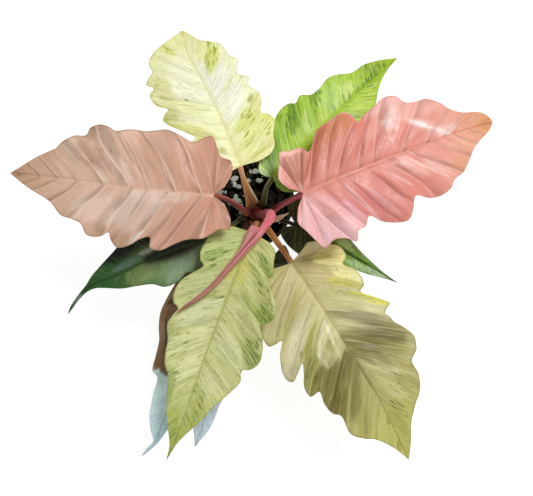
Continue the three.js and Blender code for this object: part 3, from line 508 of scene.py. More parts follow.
        (-5, 8), (-14, 12), (-22, 12), (-27, 15), (-23, 21), (-13, 28), (0, 33), (16, 34), (34, 31),
        (52, 27), (70, 23), (86, 20), (101, 19.5), (117, 17.5), (133, 13), (152, 8.5), (172, 8), (186, 6),
        (199, 1.5),
    ],
    right=[
        (-7, -7), (-11, -14), (-8, -24), (0, -32), (10, -38), (22, -43), (36, -46), (50, -47), (64, -46),
        (77, -43), (88, -39), (97, -38), (108, -37), (121, -33), (138, -26), (157, -20), (176, -15.5),
        (190, -10), (202, -5),
    ],
    petiole=dict(level=0.5, turn=-95, foot=(3, 2.8), sheath=3),
    veins=([-24, -8, 8, 26, 46, 66, 88, 110, 134], [-24, -8, 8, 26, 46, 66, 88, 110, 134]),
    # The very dark base of the blade is partly its dark olive-green and partly painted shade under the
    # leaves above; its far part is pale blue-grey.
    along=["#1e2412", "#262d18", "#3a4530", "#b0c0c4", "#cbdae4", "#d3e0ea", "#c6d0da"],
    along_at=[0, 0.25, 0.42, 0.55, 0.7, 0.85, 1],
    patches=[("#dfe9ee", 120, 0.5, 20, 0.5, 0.5)],
    broad=("#78867c", 0.2), fine=("#6c7a70", 0.2), light=("#c2ccce", 0.15), fleck=("#4c5a44", 0.0),
    vein=("#9caaa4", 0.25), midrib="#8c9a94", rib_shown=0.4, edge="#75846e", under="#8a968e",
    roughness=0.55,
    stalk=("#4f4d2f", "#5b5b38", "#6c7050", "#3e3d24"),
)]

# The furled new leaf and the papery bract beside it
SPIKE_ROUTE = [
    (21, -26, 165), (26, -30, 195), (33, -35, 224), (32, -42, 238), (27, -50, 243), (19, -60, 243),
    (8, -72, 240), (-10, -92, 234), (-26, -109, 229), (-45, -124, 224), (-55, -130, 220), (-63, -136, 217),
]
SPIKE_RADII = [3.4, 3.6, 4.2, 5.2, 5, 4.6, 5, 4.2, 3.5, 2.8, 2.2, 1.5, 0.5]
SHOULDER_REACH = 7
SEAM_PLACE = -0.3

BRACT_LEVEL = 0.97
BRACT_TURN = -26
BRACT_ROUTE = [(32, -30, 158), (42, -31, 172), (52, -28, 187)]
BRACT_HALF_WIDTHS = [2.3, 3.6, 4, 0.8]
BRACT_HALF_THICKNESS = 0.8

# Where the photo shows clumps of perlite, as places on the soil, and how much of each kind there is
PERLITE_CLUMPS = [(-19, 6, 10), (-7, -3, 8), (-3, -20, 8), (11, 26, 9), (-8, 21, 6), (-37, 5, 9)]
PERLITE_PER_CLUMP = 4
PERLITE_SIZES = (1.3, 4.0)
LOOSE_PERLITE = 16
LOOSE_PERLITE_SIZES = (0.6, 1.3)
BARK_CHIPS = 160
BARK_SIZES = (1.5, 4.5)

# Places of the perlite and the bark in the list of the soil's materials
PERLITE = 1
BARK = 2

FLOOR_HALF_WIDTH = 30000
FLOOR_GLOW = 0.8
SKY_STRENGTH = 0.4
SUN_STRENGTH = 2.2
SUN_SPREAD_DEGREES = 16
SUN_SIDE = (0.28, 0.26, 0.92)


# Colour and node helpers

def colour(hex_code):
    """Linear colour of a hex code as seen on a screen."""
    parts = [int(hex_code[i:i + 2], 16) / 255 for i in (1, 3, 5)]
    linear = [c / 12.92 if c <= 0.04045 else ((c + 0.055) / 1.055) ** 2.4 for c in parts]
    return (*linear, 1.0)


class Graph:
    """A material's nodes, with short ways to add and join them. A colour may be a hex code."""

    def __init__(self, name):
        self.material = bpy.data.materials.new(name)
        self.material.use_nodes = True
        self.tree = self.material.node_tree
        self.tree.nodes.clear()

    def add(self, kind, inputs=(), output=0, **settings):
        """Adds a node, sets or joins its inputs, and gives one of its outputs."""
        node = self.tree.nodes.new("ShaderNode" + kind)
        for name, value in settings.items():
            setattr(node, name, value)
        for name, value in dict(inputs).items():
            if isinstance(value, bpy.types.NodeSocket):
                self.tree.links.new(value, node.inputs[name])
            else:
                node.inputs[name].default_value = colour(value) if isinstance(value, str) else value
        return node.outputs[output]

    def math(self, operation, *values):
        return self.add("Math", enumerate(values), operation=operation)

    def times(self, first, *others):
        for other in others:
            first = self.math("MULTIPLY", first, other)
        return first

    def stacked(self, value, *layers):
        """The value with layers added, each a pair of a value and its weight."""
        for layer, weight in layers:
            value = self.math("MULTIPLY_ADD", layer, weight, value)
        return value

    def mix(self, factor, a, b):
        return self.add("Mix", {0: factor, 6: a, 7: b}, 2, data_type="RGBA")

    def over(self, base, *layers):
        """The base colour with colours over it, each after its share."""
        for share, layer in layers:
            base = self.mix(share, base, layer)
        return base

    def smooth(self, value, low, high, to_low=0.0, to_high=1.0):
        inputs = enumerate((value, low, high, to_low, to_high))
        return self.add("MapRange", inputs, interpolation_type="SMOOTHSTEP")

    def attribute(self, name, output="Vector"):
        return self.add("Attribute", (), output, attribute_name=name)

    def place(self):
        return self.add("TexCoord", (), "Object")

    def split(self, vector):
        return self.add("SeparateXYZ", {0: vector}).node.outputs

    def stretched(self, vector, scale, shift=(0, 0, 0)):
        return self.add("Mapping", {"Vector": vector, "Scale": scale, "Location": shift})

    def noise(self, vector, scale=1.0, detail=2.0, roughness=0.5):
        inputs = {"Vector": vector, "Scale": scale, "Detail": detail, "Roughness": roughness}
        return self.add("TexNoise", inputs, "Fac")

    def finish(self, base, roughness, height=None, distance=0.0, specular=0.5, **extra):
        """Ends the material in its shader, with a bump as high as the distance in metres."""
        inputs = {"Base Color": base, "Roughness": roughness, "Specular IOR Level": specular, **extra}
        if height is not None:
            inputs["Normal"] = self.add("Bump", {"Height": height, "Distance": distance, "Strength": 1.0})
        surface = self.add("BsdfPrincipled", inputs)
        output = self.tree.nodes.new("ShaderNodeOutputMaterial")
        self.tree.links.new(surface, output.inputs["Surface"])
        return self.material


# Curves and solids

def curve_through(points, steps):
    """A smooth centripetal curve through the points, with as many steps between each two."""
    points = np.asarray(points, float)
    padded = np.vstack([2 * points[0] - points[1], points, 2 * points[-1] - points[-2]])
    t = np.linspace(0, 1, steps, endpoint=False)[:, None]
    spans = []
    for p0, p1, p2, p3 in zip(padded, padded[1:], padded[2:], padded[3:]):
        d0, d1, d2 = (np.linalg.norm(b - a) ** 0.5 for a, b in ((p0, p1), (p1, p2), (p2, p3)))
        m1 = ((p1 - p0) / d0 - (p2 - p0) / (d0 + d1) + (p2 - p1) / d1) * d1
        m2 = ((p2 - p1) / d1 - (p3 - p1) / (d1 + d2) + (p3 - p2) / d2) * d1
        spans.append(p1 + m1 * t + (3 * (p2 - p1) - 2 * m1 - m2) * t**2 + (2 * (p1 - p2) + m1 + m2) * t**3)
    return np.vstack([*spans, points[-1:]])


def unit(vector):
    vector = np.asarray(vector, float)
    return vector / np.linalg.norm(vector, axis=-1, keepdims=True)


def smoothstep(low, high, value):
    t = np.clip((value - low) / (high - low), 0, 1)
    return t * t * (3 - 2 * t)


def circle(sides):
    return np.arange(sides) / sides * 2 * np.pi


def wander(a, b, seed):
    """Soft noise of about -1 to 1 at each pair of numbers."""
    values = [noise.noise(Vector((p, q, seed))) for p, q in zip(np.ravel(a), np.ravel(b))]
    return np.reshape(values, np.shape(a))


def linked(name, data):
    made = bpy.data.objects.new(name, data)
    bpy.context.scene.collection.objects.link(made)
    return made


def mesh_object(name, vertices, faces, materials, face_materials=None):
    """A smooth-shaded object at the origin from vertices in millimetres."""
    mesh = bpy.data.meshes.new(name)
    mesh.from_pydata((np.asarray(vertices) * MM).tolist(), [], faces)
    for material in materials:
        mesh.materials.append(material)
    if face_materials is not None:
        mesh.polygons.foreach_set("material_index", face_materials)
    mesh.shade_smooth()
    return linked(name, mesh)


def add_layer(made, name, values, kind="FLOAT_VECTOR", domain="CORNER"):
    """Keeps values on a mesh, for its material to read."""
    layer = made.data.attributes.new(name, kind, domain)
    key = "color" if kind == "FLOAT_COLOR" else "vector"
    layer.data.foreach_set(key, values.astype(np.float32).ravel())


def stands_for(piece, node):
    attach(piece, "root")
    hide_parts(node)


# Leaf blades

def height_on(points, x):
    """Height of the smooth line through [x, y] points at each x."""
    px, py = np.asarray(points, float).T
    before = np.maximum(np.arange(len(px)) - 1, 0)
    after = np.minimum(np.arange(len(px)) + 1, len(px) - 1)
    slopes = (py[after] - py[before]) / (px[after] - px[before])
    i = np.clip(np.searchsorted(px, x, side="left") - 1, 0, len(px) - 2)
    span = px[i + 1] - px[i]
    t = np.clip((x - px[i]) / span, 0, 1)
    rise = (2 * t**3 - 3 * t**2 + 1) * py[i] + (3 * t**2 - 2 * t**3) * py[i + 1]
    return rise + (t**3 - 2 * t**2 + t) * span * slopes[i] + (t**3 - t**2) * span * slopes[i + 1]


def vein_roots(leaf):
    """Where the veins to each pair of margin points leave the midrib."""
    roots = []
    for (left_x, left_y), (right_x, right_y) in zip(leaf["left"], leaf["right"]):
        towards_tip = smoothstep(0.5, 1, (left_x + right_x) / 2 / leaf["reach"])
        sweep = leaf["sweep"] * (1 + TIP_LEAN * towards_tip)
        wanted = (left_x + right_x - sweep * (left_y - right_y)) / 2
        least = roots[-1] + LEAST_VEIN_STEP if roots and roots[-1] > 0 else 0
        roots.append(max(wanted, least, 0))
    return roots


def leaf_height(leaf, x, y):
    """Height of the leaf above its flat outline."""
    along = x / leaf["reach"]
    arch = np.where(along > 0, 4 * leaf["arch"] * along * (1 - along), 2 * leaf["arch"] * along)
    off_rib = y - height_on(leaf["rib"], x)
    from_rib = np.abs(off_rib) / HALF_LEAF_WIDTH
    turns = leaf["wave_count"] * along + leaf["wave_phase"] + np.where(off_rib > 0, 0, BASE_PHASE_OFFSET)
    ripple = leaf["wave"] * from_rib**2 * np.sin(2 * np.pi * turns)
    return arch + leaf["fold"] * from_rib - leaf["cup"] * from_rib**2 + ripple


def leaf_frame(leaf):
    """The leaf's own directions: x to the tip, y to the left, z out of its upper face."""
    base = np.array(leaf["base"], float)
    chord = np.array(leaf["tip"]) - base
    x = unit(chord)
    flat = unit(np.cross((0, 0, 1), x))
    roll = math.radians(leaf["roll"])
    y = flat * math.cos(roll) + np.cross(x, flat) * math.sin(roll)
    along = np.linalg.norm(chord) / leaf["reach"]
    across = np.linalg.norm(chord[:2]) / leaf["reach"]
    return base, x, y, np.cross(x, y), along, across


def vein_numbers(veins, w):
    """A smooth count of main veins along w: a whole number on each vein."""
    first, last = veins[0], veins[-1]
    places = [first - SPACE_BEFORE_VEINS, *veins, last + SPACE_AFTER_VEINS, last + 2 * SPACE_AFTER_VEINS]
    return np.interp(w, places, np.arange(len(places)))


def half_blade(leaf, margin):
    """Grid of one half of the blade: for each station along it and each strip to the margin, the flat
    place, the share s of the way to the margin, the way v from the midrib and the vein's root, as w
    with the basal lobe's veins counted below 0, and as it is."""
    margin = curve_through([*margin, leaf["rib"][-1]], BLADE_STEPS)
    stations = np.arange(len(margin)) / BLADE_STEPS
    knots = [*vein_roots(leaf), leaf["rib"][-1][0]]
    roots = np.interp(stations, np.arange(len(knots)), knots)
    window = 2 * ROOT_SMOOTHING + 1
    padded = np.pad(roots, ROOT_SMOOTHING, mode="edge")
    middle = np.convolve(padded, np.ones(window) / window, mode="valid")
    blend = np.clip(np.minimum(stations, stations[-1] - stations), 0, 1)
    roots = (roots + (np.minimum(middle, roots * 4) - roots) * blend)[:, None]
    rib_y = height_on(leaf["rib"], roots)

    s = 1 - (1 - np.linspace(0, 1, BLADE_STRIPS)) ** MARGIN_CROWDING
    run = (1 - VEIN_BEND) * s + VEIN_BEND * s**2
    x = roots + (margin[:, :1] - roots) * run
    y = rib_y + (margin[:, 1:] - rib_y) * s
    v = np.hypot(x - roots, y - rib_y)

    middle_line = np.stack([x[:, BLADE_STRIPS // 2], y[:, BLADE_STRIPS // 2]], axis=1)
    travelled = np.concatenate([[0], np.cumsum(np.linalg.norm(np.diff(middle_line, axis=0), axis=1))])
    fan_end = travelled[np.argmax(roots > 0.5) - 1]
    w = roots - np.maximum(fan_end - travelled, 0)[:, None]
    return [np.broadcast_to(part, x.shape) for part in (x, y, s, v, w, roots)]


def soft_hump(turns):
    """A rounded rise between whole numbers, steeper at its start, with a soft valley at each."""
    leaning = (turns - np.floor(turns)) ** PLEAT_LEAN
    return np.sqrt(np.sin(np.pi * leaning) ** 2 + 0.05) - 0.65


def relief(leaf, s, v, w, passed, number):
    """Height of the soft pleats between sunken veins, and of the groove along the midrib."""
    room = smoothstep(0.02, 0.35, s) * (1 - 0.45 * smoothstep(0.7, 1, s))
    fade = 1 - 0.6 * smoothstep(0.6, 1, passed)
    depth = leaf.get("pleat", PLEAT_DEPTH) * (1 + 0.8 * wander(w / 23, s * 1.1, 4.2))
    swell = 0.8 * wander(w / 13, s * 2.3, 9.1)
    groove = RIB_GROOVE * np.exp(-(v / (0.8 + 1.4 * (1 - passed))) ** 2)
    pleats = depth * soft_hump(number) + SMALL_PLEAT_DEPTH * soft_hump(number * 3) + swell
    return room * fade * pleats - groove


def patch_share(patch, w, s, rough):
    """How much of a soft, ragged patch lies on each place."""
    w_middle, s_middle, w_reach, s_reach, strength = patch
    distance = ((w - w_middle) / w_reach) ** 2 + ((s - s_middle) / s_reach) ** 2
    return strength * (1 - smoothstep(0.3, 1.5, distance + 0.7 * rough))


def streak_share(streak, x, y):
    """How much of a soft streak from one place to another, in the flat outline, lies on each place."""
    x_start, y_start, x_end, y_end, half_width, strength = streak
    x_run, y_run = x_end - x_start, y_end - y_start
    along = ((x - x_start) * x_run + (y - y_start) * y_run) / (x_run**2 + y_run**2)
    reached = np.clip(along, 0, 1)
    away = np.hypot(x - x_start - reached * x_run, y - y_start - reached * y_run)
    taper = 0.45 + 0.55 * np.sin(np.pi * reached)
    return strength * (1 - smoothstep(0.2, 1, away / (half_width * taper)))


def paint(leaf, x, y, w, s):
    """Colour of each place on the blade, a run of colours from joint to tip with soft patches and
    streaks on it, some of them painted shadows, shade and highlights, and how thickly it is flecked."""
    colours = np.array([colour(c)[:3] for c in leaf["along"]])
    places = leaf.get("along_at", np.linspace(0, 1, len(colours)))
    along = np.clip(x / leaf["reach"] + 0.02 * wander(w / 3, s * 5, 1.3), 0, 1)
    painted = np.stack([np.interp(along, places, channel) for channel in colours.T], axis=-1)
    rough = wander(w / 9, s * 2.2, 3.1) + 0.5 * wander(w / 2.5, s * 4, 7.7)
    shares = [(code, patch_share(patch, w, s, rough)) for code, *patch in leaf["patches"]]
    shares += [(code, streak_share(streak, x, y)) for code, *streak in leaf.get("streaks", [])]
    for hex_code, share in shares:
        painted = painted + (np.array(colour(hex_code)[:3]) - painted) * share[..., None]
    flecked = np.full(w.shape, leaf["fleck"][1])
    for patch in leaf.get("flecked", []):
        flecked = np.maximum(flecked, patch_share(patch, w, s, rough))
    return np.concatenate([painted, flecked[..., None]], axis=-1)


def leaf_material(leaf, under):
    """Marbling, flecks, veins and midrib over the painted colours, in the blade's own places, with painted
    shade on the far side of each vein.
    """
    graph = Graph(f"{leaf['name']}_{'under' if under else 'upper'}")
    veins = graph.attribute("vein_place")
    _, v, number = graph.split(veins)
    x, _, s = graph.split(graph.attribute("flat_place"))
    stir = 1 - leaf.get("calm", 0)

    def along_veins(width, length, shift=(0, 0, 0), **settings):
        """Noise in streaks that run with the side veins, about so wide and so long in millimetres."""
        return graph.noise(graph.stretched(veins, (1 / width, 1 / length, 0), shift), **settings)

    cluster = graph.smooth(along_veins(14, 34, (3, 5, 8), detail=1), 0.35, 0.62)
    marbling = [
        ("broad", along_veins(7, 46, detail=3), (0.45, 0.66), 1.0),
        ("fine", along_veins(1.3, 34, (7, 1, 4), detail=2), (0.52, 0.68), cluster),
        ("light", along_veins(1.9, 44, (2, 8, 1), detail=2), (0.5, 0.7), 1.0),
    ]
    tinted = graph.attribute("paint", "Color")
    for key, streaks, (low, high), where in marbling:
        hex_code, strength = leaf[key]
        share = graph.smooth(streaks, low, high, 0.0, strength)
        tinted = graph.mix(graph.times(share, where), tinted, hex_code)

    specks = along_veins(1.9, 12, (5, 3, 9), detail=3, roughness=0.6)
    thickly = graph.math("MULTIPLY_ADD", graph.attribute("paint", "Alpha"), 0.19, specks)

    def line(count, half_width):
        """Thin lines, this many to each main vein."""
        from_line = graph.math("PINGPONG", graph.times(number, count), 0.5)
        return graph.smooth(from_line, 0, half_width, 1.0, 0.0)

    vein_code, vein_strength = leaf["vein"]
    both_lines = graph.math("MAXIMUM", line(1.0, 0.05), graph.times(line(3.0, 0.11), MINOR_VEINS * stir))
    broken = graph.smooth(along_veins(9, 26, (1, 6, 2)), 0.36, 0.6, 0.25, 1.0)
    from_rib = graph.math("DIVIDE", v, graph.smooth(x, 0, leaf["reach"], 1.9, 0.4))
    tinted = graph.over(
        tinted,
        (graph.smooth(thickly, 0.66, 0.76, 0.0, 0.85), leaf["fleck"][0]),
        (graph.times(both_lines, broken, vein_strength), vein_code),
        (graph.smooth(from_rib, 0.5, 1.5, leaf.get("rib_shown", 0.75), 0.0), leaf["midrib"]),
        (graph.smooth(s, 0.96, 0.995, 0.0, 0.5), leaf["edge"]),
    )

    # Fibres and mottling, and the painted shade on the far side of each vein, only change how light the
    # colour is
    fibres = along_veins(0.8, 13, (4, 4, 4), detail=2)
    mottling = graph.noise(graph.place(), scale=260, detail=3)
    past_vein = graph.math("FRACT", number)
    painted_far_side_shade = graph.times(
        graph.smooth(past_vein, 0.03, 0.09), graph.smooth(past_vein, 0.09, 0.42, 1.0, 0.0), broken)
    fibre_depth = FIBRE_CONTRAST * stir
    mottle_depth = MOTTLE_CONTRAST * stir
    shade = graph.stacked(
        1 - (fibre_depth + mottle_depth) / 2,
        (fibres, fibre_depth), (mottling, mottle_depth), (painted_far_side_shade, -leaf.get("pleat_shade", 0.1)))
    inputs = {"Saturation": leaf.get("saturation", SATURATION), "Value": shade, "Color": tinted}
    tinted = graph.add("HueSaturation", inputs)

    grain = graph.noise(graph.place(), scale=900, detail=2)
    height = graph.stacked(
        graph.times(both_lines, 1.0 if under else -0.7),
        (line(12.0, 0.35), -0.08), (fibres, 0.18), (grain, 0.08))
    roughness = graph.smooth(mottling, 0.3, 0.7, leaf["roughness"] - 0.05, leaf["roughness"] + 0.1)
    if under:
        tinted = graph.mix(0.65, tinted, leaf["under"])
        roughness = graph.math("ADD", roughness, 0.15)
    return graph.finish(tinted, roughness, height, 0.0003, specular=0.32)


def make_blade(leaf):
    """A thin closed blade with pleats between its veins, a raised midrib beneath and a soft edge."""
    base, ax, ay, az, along, across = leaf_frame(leaf)
    positions, values, keels, grids = [], [], [], []
    for side, margin, veins in ((1, leaf["left"], leaf["veins"][0]), (-1, leaf["right"], leaf["veins"][1])):
        x, y, s, v, w, root = half_blade(leaf, margin)
        passed = root / leaf["rib"][-1][0]
        number = vein_numbers(veins, w) + VEIN_WANDER * wander(w / 17, s * 1.6, 6.4)
        z = leaf_height(leaf, x, y) + relief(leaf, s, v, w, passed, number)
        place = base + ax * (x * along)[..., None] + ay * (y * across)[..., None] + az * z[..., None]
        positions.append(place.reshape(-1, 3))
        keels.append((MIDRIB_DEPTH * (1 - passed) * np.exp(-(v / (0.9 + 1.3 * (1 - passed))) ** 2)).ravel())
        flat_and_vein = np.stack([x, y, s, w + (0 if side > 0 else FAR_HALF_SHIFT), v, number], axis=-1)
        painted = paint(leaf, x, y, w, side * s)
        values.append(np.concatenate([flat_and_vein, painted], axis=-1).reshape(x.size, -1))
        grids.append(np.arange(x.size).reshape(x.shape) + (0 if side > 0 else grids[0].size))
    top = np.vstack(positions)
    bottom = top - az * (BLADE_THICKNESS + np.concatenate(keels))[:, None]
    count = len(top)
    faces, face_materials = [], []

    def quads(material, *corners):
        faces.append(np.stack([corner.ravel() for corner in corners], axis=1))
        face_materials.extend([material] * corners[0].size)

    for side, grid in zip((1, -1), grids):
        a, b, c, d = grid[:-1, :-1], grid[1:, :-1], grid[1:, 1:], grid[:-1, 1:]
        if side < 0:
            b, d = d, b
        quads(0, a, b, c, d)
        quads(1, a + count, d + count, c + count, b + count)

    left, right = grids
    loop = np.concatenate([left[::-1, -1], left[0, -2::-1], right[0, 1:], right[1:, -1]])
    inner = np.concatenate([left[::-1, -2], left[1, -2::-1], right[1, 1:], right[1:, -2]])
    outward = top[loop] - top[inner]
    size = np.maximum(np.linalg.norm(outward, axis=1, keepdims=True), 1e-6)
    edge = (top[loop] + bottom[loop]) / 2 + outward / size * EDGE_ROUNDING
    ring = 2 * count + np.arange(len(loop))
    quads(0, loop[:-1], ring[:-1], ring[1:], loop[1:])
    quads(1, ring[:-1], loop[:-1] + count, loop[1:] + count, ring[1:])

    # Places that fall together, along the midrib and at the joint and the tip, become one vertex
    rounded = np.round(np.vstack([top, bottom, edge]), 4)
    unique, merged = np.unique(rounded, axis=0, return_inverse=True)
    merged = merged.ravel()
    kept_faces, kept_corners, kept_materials = [], [], []
    for face, material in zip(np.vstack(faces), face_materials):
        corners = [k for i, k in enumerate(face) if merged[k] != merged[face[i - 1]]]
        if len({merged[k] for k in corners}) == len(corners) >= 3:
            kept_faces.append([int(merged[k]) for k in corners])
            kept_corners.extend(corners)
            kept_materials.append(material)

    materials = [leaf_material(leaf, under) for under in (False, True)]
    blade = mesh_object(f"blade_{leaf['name']}", unique, kept_faces, materials, kept_materials)
    values = np.vstack(values)
    values = np.vstack([values, values, values[loop]])[kept_corners]
    add_layer(blade, "flat_place", values[:, :3])
    add_layer(blade, "vein_place", values[:, 3:6])
    add_layer(blade, "paint", values[:, 6:], kind="FLOAT_COLOR")
    stands_for(blade, f"leaf_{leaf['name']}")


# Stalks, the furled leaf and the bract

def make_limb(name, points, steps, across, outline, material, node):
    """A closed limb along a smooth route through the points. outline(reached, angles) gives each
    section's x and y offsets, where reached counts the points passed."""
    places = curve_through(points, steps)
    ahead = unit(np.gradient(places, axis=0))
    sides = LIMB_SIDES
    angles = circle(sides)
    rings = []
    for i, (place, forward) in enumerate(zip(places, ahead)):
        wide = unit(across - forward * across.dot(forward))
        x, y = outline(i / steps, angles)
        rings.append(place + x[:, None] * wide + y[:, None] * np.cross(forward, wide))
    vertices = np.vstack(rings)
    faces = [list(range(sides))[::-1], list(range(len(vertices) - sides, len(vertices)))]
    for i in range(len(places) - 1):
        for k in range(sides):
            a, b = i * sides + k, i * sides + (k + 1) % sides
            faces.append([a, b, b + sides, a + sides])
    made = mesh_object(name, vertices, faces, [material])
    share = np.repeat(np.arange(len(places)) / (len(places) - 1), sides)
    turn = np.tile(angles, len(places))
    add_layer(made, "limb_place", np.stack([share, np.cos(turn), np.sin(turn)], axis=1), domain="POINT")
    stands_for(made, node)


def stalk_material(name, hex_codes, roughness=0.45, margin=None):
    """Smooth skin whose colour runs from the foot to the blade, with another tone along one side,
    fine lines along it and, on a sheath, a pale thin margin and a dark line of painted shade along
    its fold."""
    graph = Graph(name)
    place = graph.attribute("limb_place")
    share, across = graph.split(place)[:2]
    foot, middle, top, other_side = hex_codes
    pale = (*(min(1, c * 1.6 + 0.02) for c in colour(middle)[:3]), 1)
    dark = (*(c * 0.4 for c in colour(middle)[:3]), 1)
    lines = graph.noise(graph.stretched(place, (2.5, 6, 6)), detail=3, roughness=0.6)
    tone = graph.math("MULTIPLY_ADD", graph.math("SUBTRACT", lines, 0.5), 1.2, across)
    tinted = graph.over(
        foot,
        (graph.smooth(share, 0.1, 0.5), middle),
        (graph.smooth(share, 0.55, 0.95), top),
        (graph.smooth(tone, -0.2, 0.15, 0.9, 0.0), other_side),
        (graph.smooth(lines, 0.5, 0.7, 0, 0.35), pale),
        (graph.smooth(lines, 0.48, 0.3, 0, 0.6), dark),
    )
    if margin:
        sheathed = graph.smooth(share, 0.62, 0.45)
        from_shaded_fold = graph.math("ABSOLUTE", graph.math("SUBTRACT", across, 0.25))
        tinted = graph.over(
            tinted,
            # A dark line of painted shade along the sheath's fold.
            (graph.times(graph.smooth(from_shaded_fold, 0.05, 0.2, 0.75, 0.0), sheathed), dark),
            (graph.times(graph.smooth(across, -0.6, -0.75), sheathed), margin),
        )
    grain = graph.noise(graph.place(), scale=1200, detail=2)
    gloss = graph.smooth(grain, 0.3, 0.7, roughness - 0.06, roughness + 0.1)
    height = graph.math("ADD", lines, graph.times(grain, 0.3))
    return graph.finish(tinted, gloss, height, 0.00025, specular=0.16)


def beside_stem(level, turn, distance):
    angle = math.radians(turn)
    outward = np.array([math.cos(angle), math.sin(angle), 0])
    radius = STEM_FOOT_RADIUS + (STEM_TOP_RADIUS - STEM_FOOT_RADIUS) * level
    return STEM_FOOT + (STEM_TOP - STEM_FOOT) * level + outward * (radius + distance), outward


def make_petiole(leaf):
    """A stalk from the stem to the blade's joint, with a soft groove along its upper side, and a
    sheath with thin edges at its foot."""
    base, ax, _, az = leaf_frame(leaf)[:4]
    petiole = leaf["petiole"]
    foot_width, foot_depth = petiole["foot"]
    place, outward = beside_stem(petiole["level"], petiole["turn"], foot_depth + CLEARANCE)
    leave_stem = place + unit(STEM_TOP - STEM_FOOT) * PETIOLE_CLASP_LENGTH + outward * PETIOLE_CLASP_LEAN
    arrival = unit(ax * PETIOLE_ARRIVAL[0] + az * PETIOLE_ARRIVAL[1])
    drop = CAD_BLADE_THICKNESS + MIDRIB_DEPTH + PETIOLE_GAP
    joint = base - az * drop
    before_joint = joint - arrival * PETIOLE_NECK_LENGTH
    span = before_joint - leave_stem
    middle = leave_stem + span / 2 + np.array([0, 0, np.linalg.norm(span) * PETIOLE_BOW])
    points = [place, leave_stem, middle, before_joint, joint + arrival * drop * PETIOLE_TOP_REACH]
    top_radius = foot_depth * PETIOLE_TOP_SHARE
    middle_width = top_radius + (petiole["sheath"] - top_radius) * PETIOLE_TAPER
    widths = [foot_width, petiole["sheath"], middle_width, top_radius, top_radius]
    depths = [foot_depth, foot_depth, top_radius, top_radius, top_radius]

    def outline(reached, angles):
        width = np.interp(reached, range(5), widths)
        depth = np.interp(reached, range(5), depths)
        swell = 1 + 0.1 * smoothstep(3.2, 3.7, reached) - 0.2 * smoothstep(3.8, 4, reached)
        sheathed = 1 - smoothstep(1.2, 2.4, reached)
        upper = np.clip(np.sin(angles), 0, None)
        hollow = (0.1 + 0.45 * sheathed) * np.exp(-((np.cos(angles) / 0.4) ** 2)) * upper
        return np.cos(angles) * width * swell, np.sin(angles) * depth * swell * (1 - hollow)

    name = f"stalk_{leaf['name']}"
    skin = stalk_material(name, leaf["stalk"], margin=leaf.get("stalk_margin"))
    make_limb(name, points, PETIOLE_STEPS, np.cross((0, 0, 1), outward), outline, skin,
              f"petiole_{leaf['name']}")


def furled_material():
    """Pink red stalk, a paler rolled blade that turns tan to its tip, the dark line of its seam, and a
    painted highlight along the roll beside the seam.
    """
    graph = Graph("furled_pink")
    place = graph.attribute("limb_place")
    share, across = graph.split(place)[:2]
    lines = graph.noise(graph.stretched(place, (14, 3, 3)), detail=3, roughness=0.6)
    pink_share = graph.smooth(share, 0.25, 0.35)
    blade_share = graph.smooth(share, 0.44, 0.52)
    from_seam = graph.math("ABSOLUTE", graph.math("SUBTRACT", across, SEAM_PLACE))
    seam = graph.times(graph.smooth(from_seam, 0.03, 0.12, 1, 0), blade_share)
    painted_ridge_highlight = graph.times(graph.smooth(from_seam, 0.15, 0.35), graph.smooth(from_seam, 0.35, 0.6, 1, 0))
    tinted = graph.over(
        "#7e2e2c",
        (graph.smooth(share, 0.21, 0.31), "#d26c73"),
        (graph.smooth(share, 0.42, 0.5), "#c27376"),
        (graph.smooth(share, 0.54, 0.74), "#a9725a"),
        (graph.smooth(share, 0.78, 0.95), "#7d5a3e"),
        (graph.times(graph.smooth(lines, 0.5, 0.7, 0, 0.5), pink_share), "#e6a3a2"),
        (graph.times(graph.smooth(lines, 0.48, 0.3, 0, 0.5), pink_share), "#9c4a50"),
        (graph.times(graph.smooth(across, -0.35, -0.8), blade_share, 0.7), "#b56b66"),
        (graph.times(seam, 0.75), "#6f2f33"),
        # A painted highlight along the roll, beside its seam.
        (graph.times(painted_ridge_highlight, blade_share, 0.3), "#f0c4bd"),
    )
    return graph.finish(tinted, 0.45, graph.math("MULTIPLY_ADD", seam, -1.5, lines), 0.0004, specular=0.18)


def make_spike():
    """The rolled new leaf: a smooth stalk that bends over, the blade's shoulder on one side of it,
    and a tapering roll with a seam."""
    start = STEM_TOP + unit(STEM_TOP - STEM_FOOT) * CLEARANCE
    points = np.array([start, *SPIKE_ROUTE], float)

    def outline(reached, angles):
        radius = np.interp(reached, range(len(SPIKE_RADII)), SPIKE_RADII)
        rolled = smoothstep(5, 6.5, reached)
        neck = 1 - 0.22 * math.exp(-(((reached - 5.1) / 0.6) ** 2))
        turned_share = (angles + 1.1 + 0.18 * reached) % (2 * np.pi) / (2 * np.pi)
        roll = (1 - rolled * 0.2 * (1 - turned_share) ** 1.5) * neck
        shoulder = SHOULDER_REACH * smoothstep(5.35, 5.6, reached) * (1 - smoothstep(5.7, 7.6, reached))
        wing = smoothstep(0.3, 1, -np.cos(angles))
        x = np.cos(angles) * radius * roll - shoulder * wing
        return x, np.sin(angles) * radius * roll * (1 - 0.35 * wing * rolled) - 0.12 * shoulder * wing

    across = unit(np.cross((0, 0, 1), points[-1] - points[0]))
    skin = furled_material()
    make_limb("furled_new_leaf", points, LIMB_STEPS, across, outline, skin, "furled_leaf")


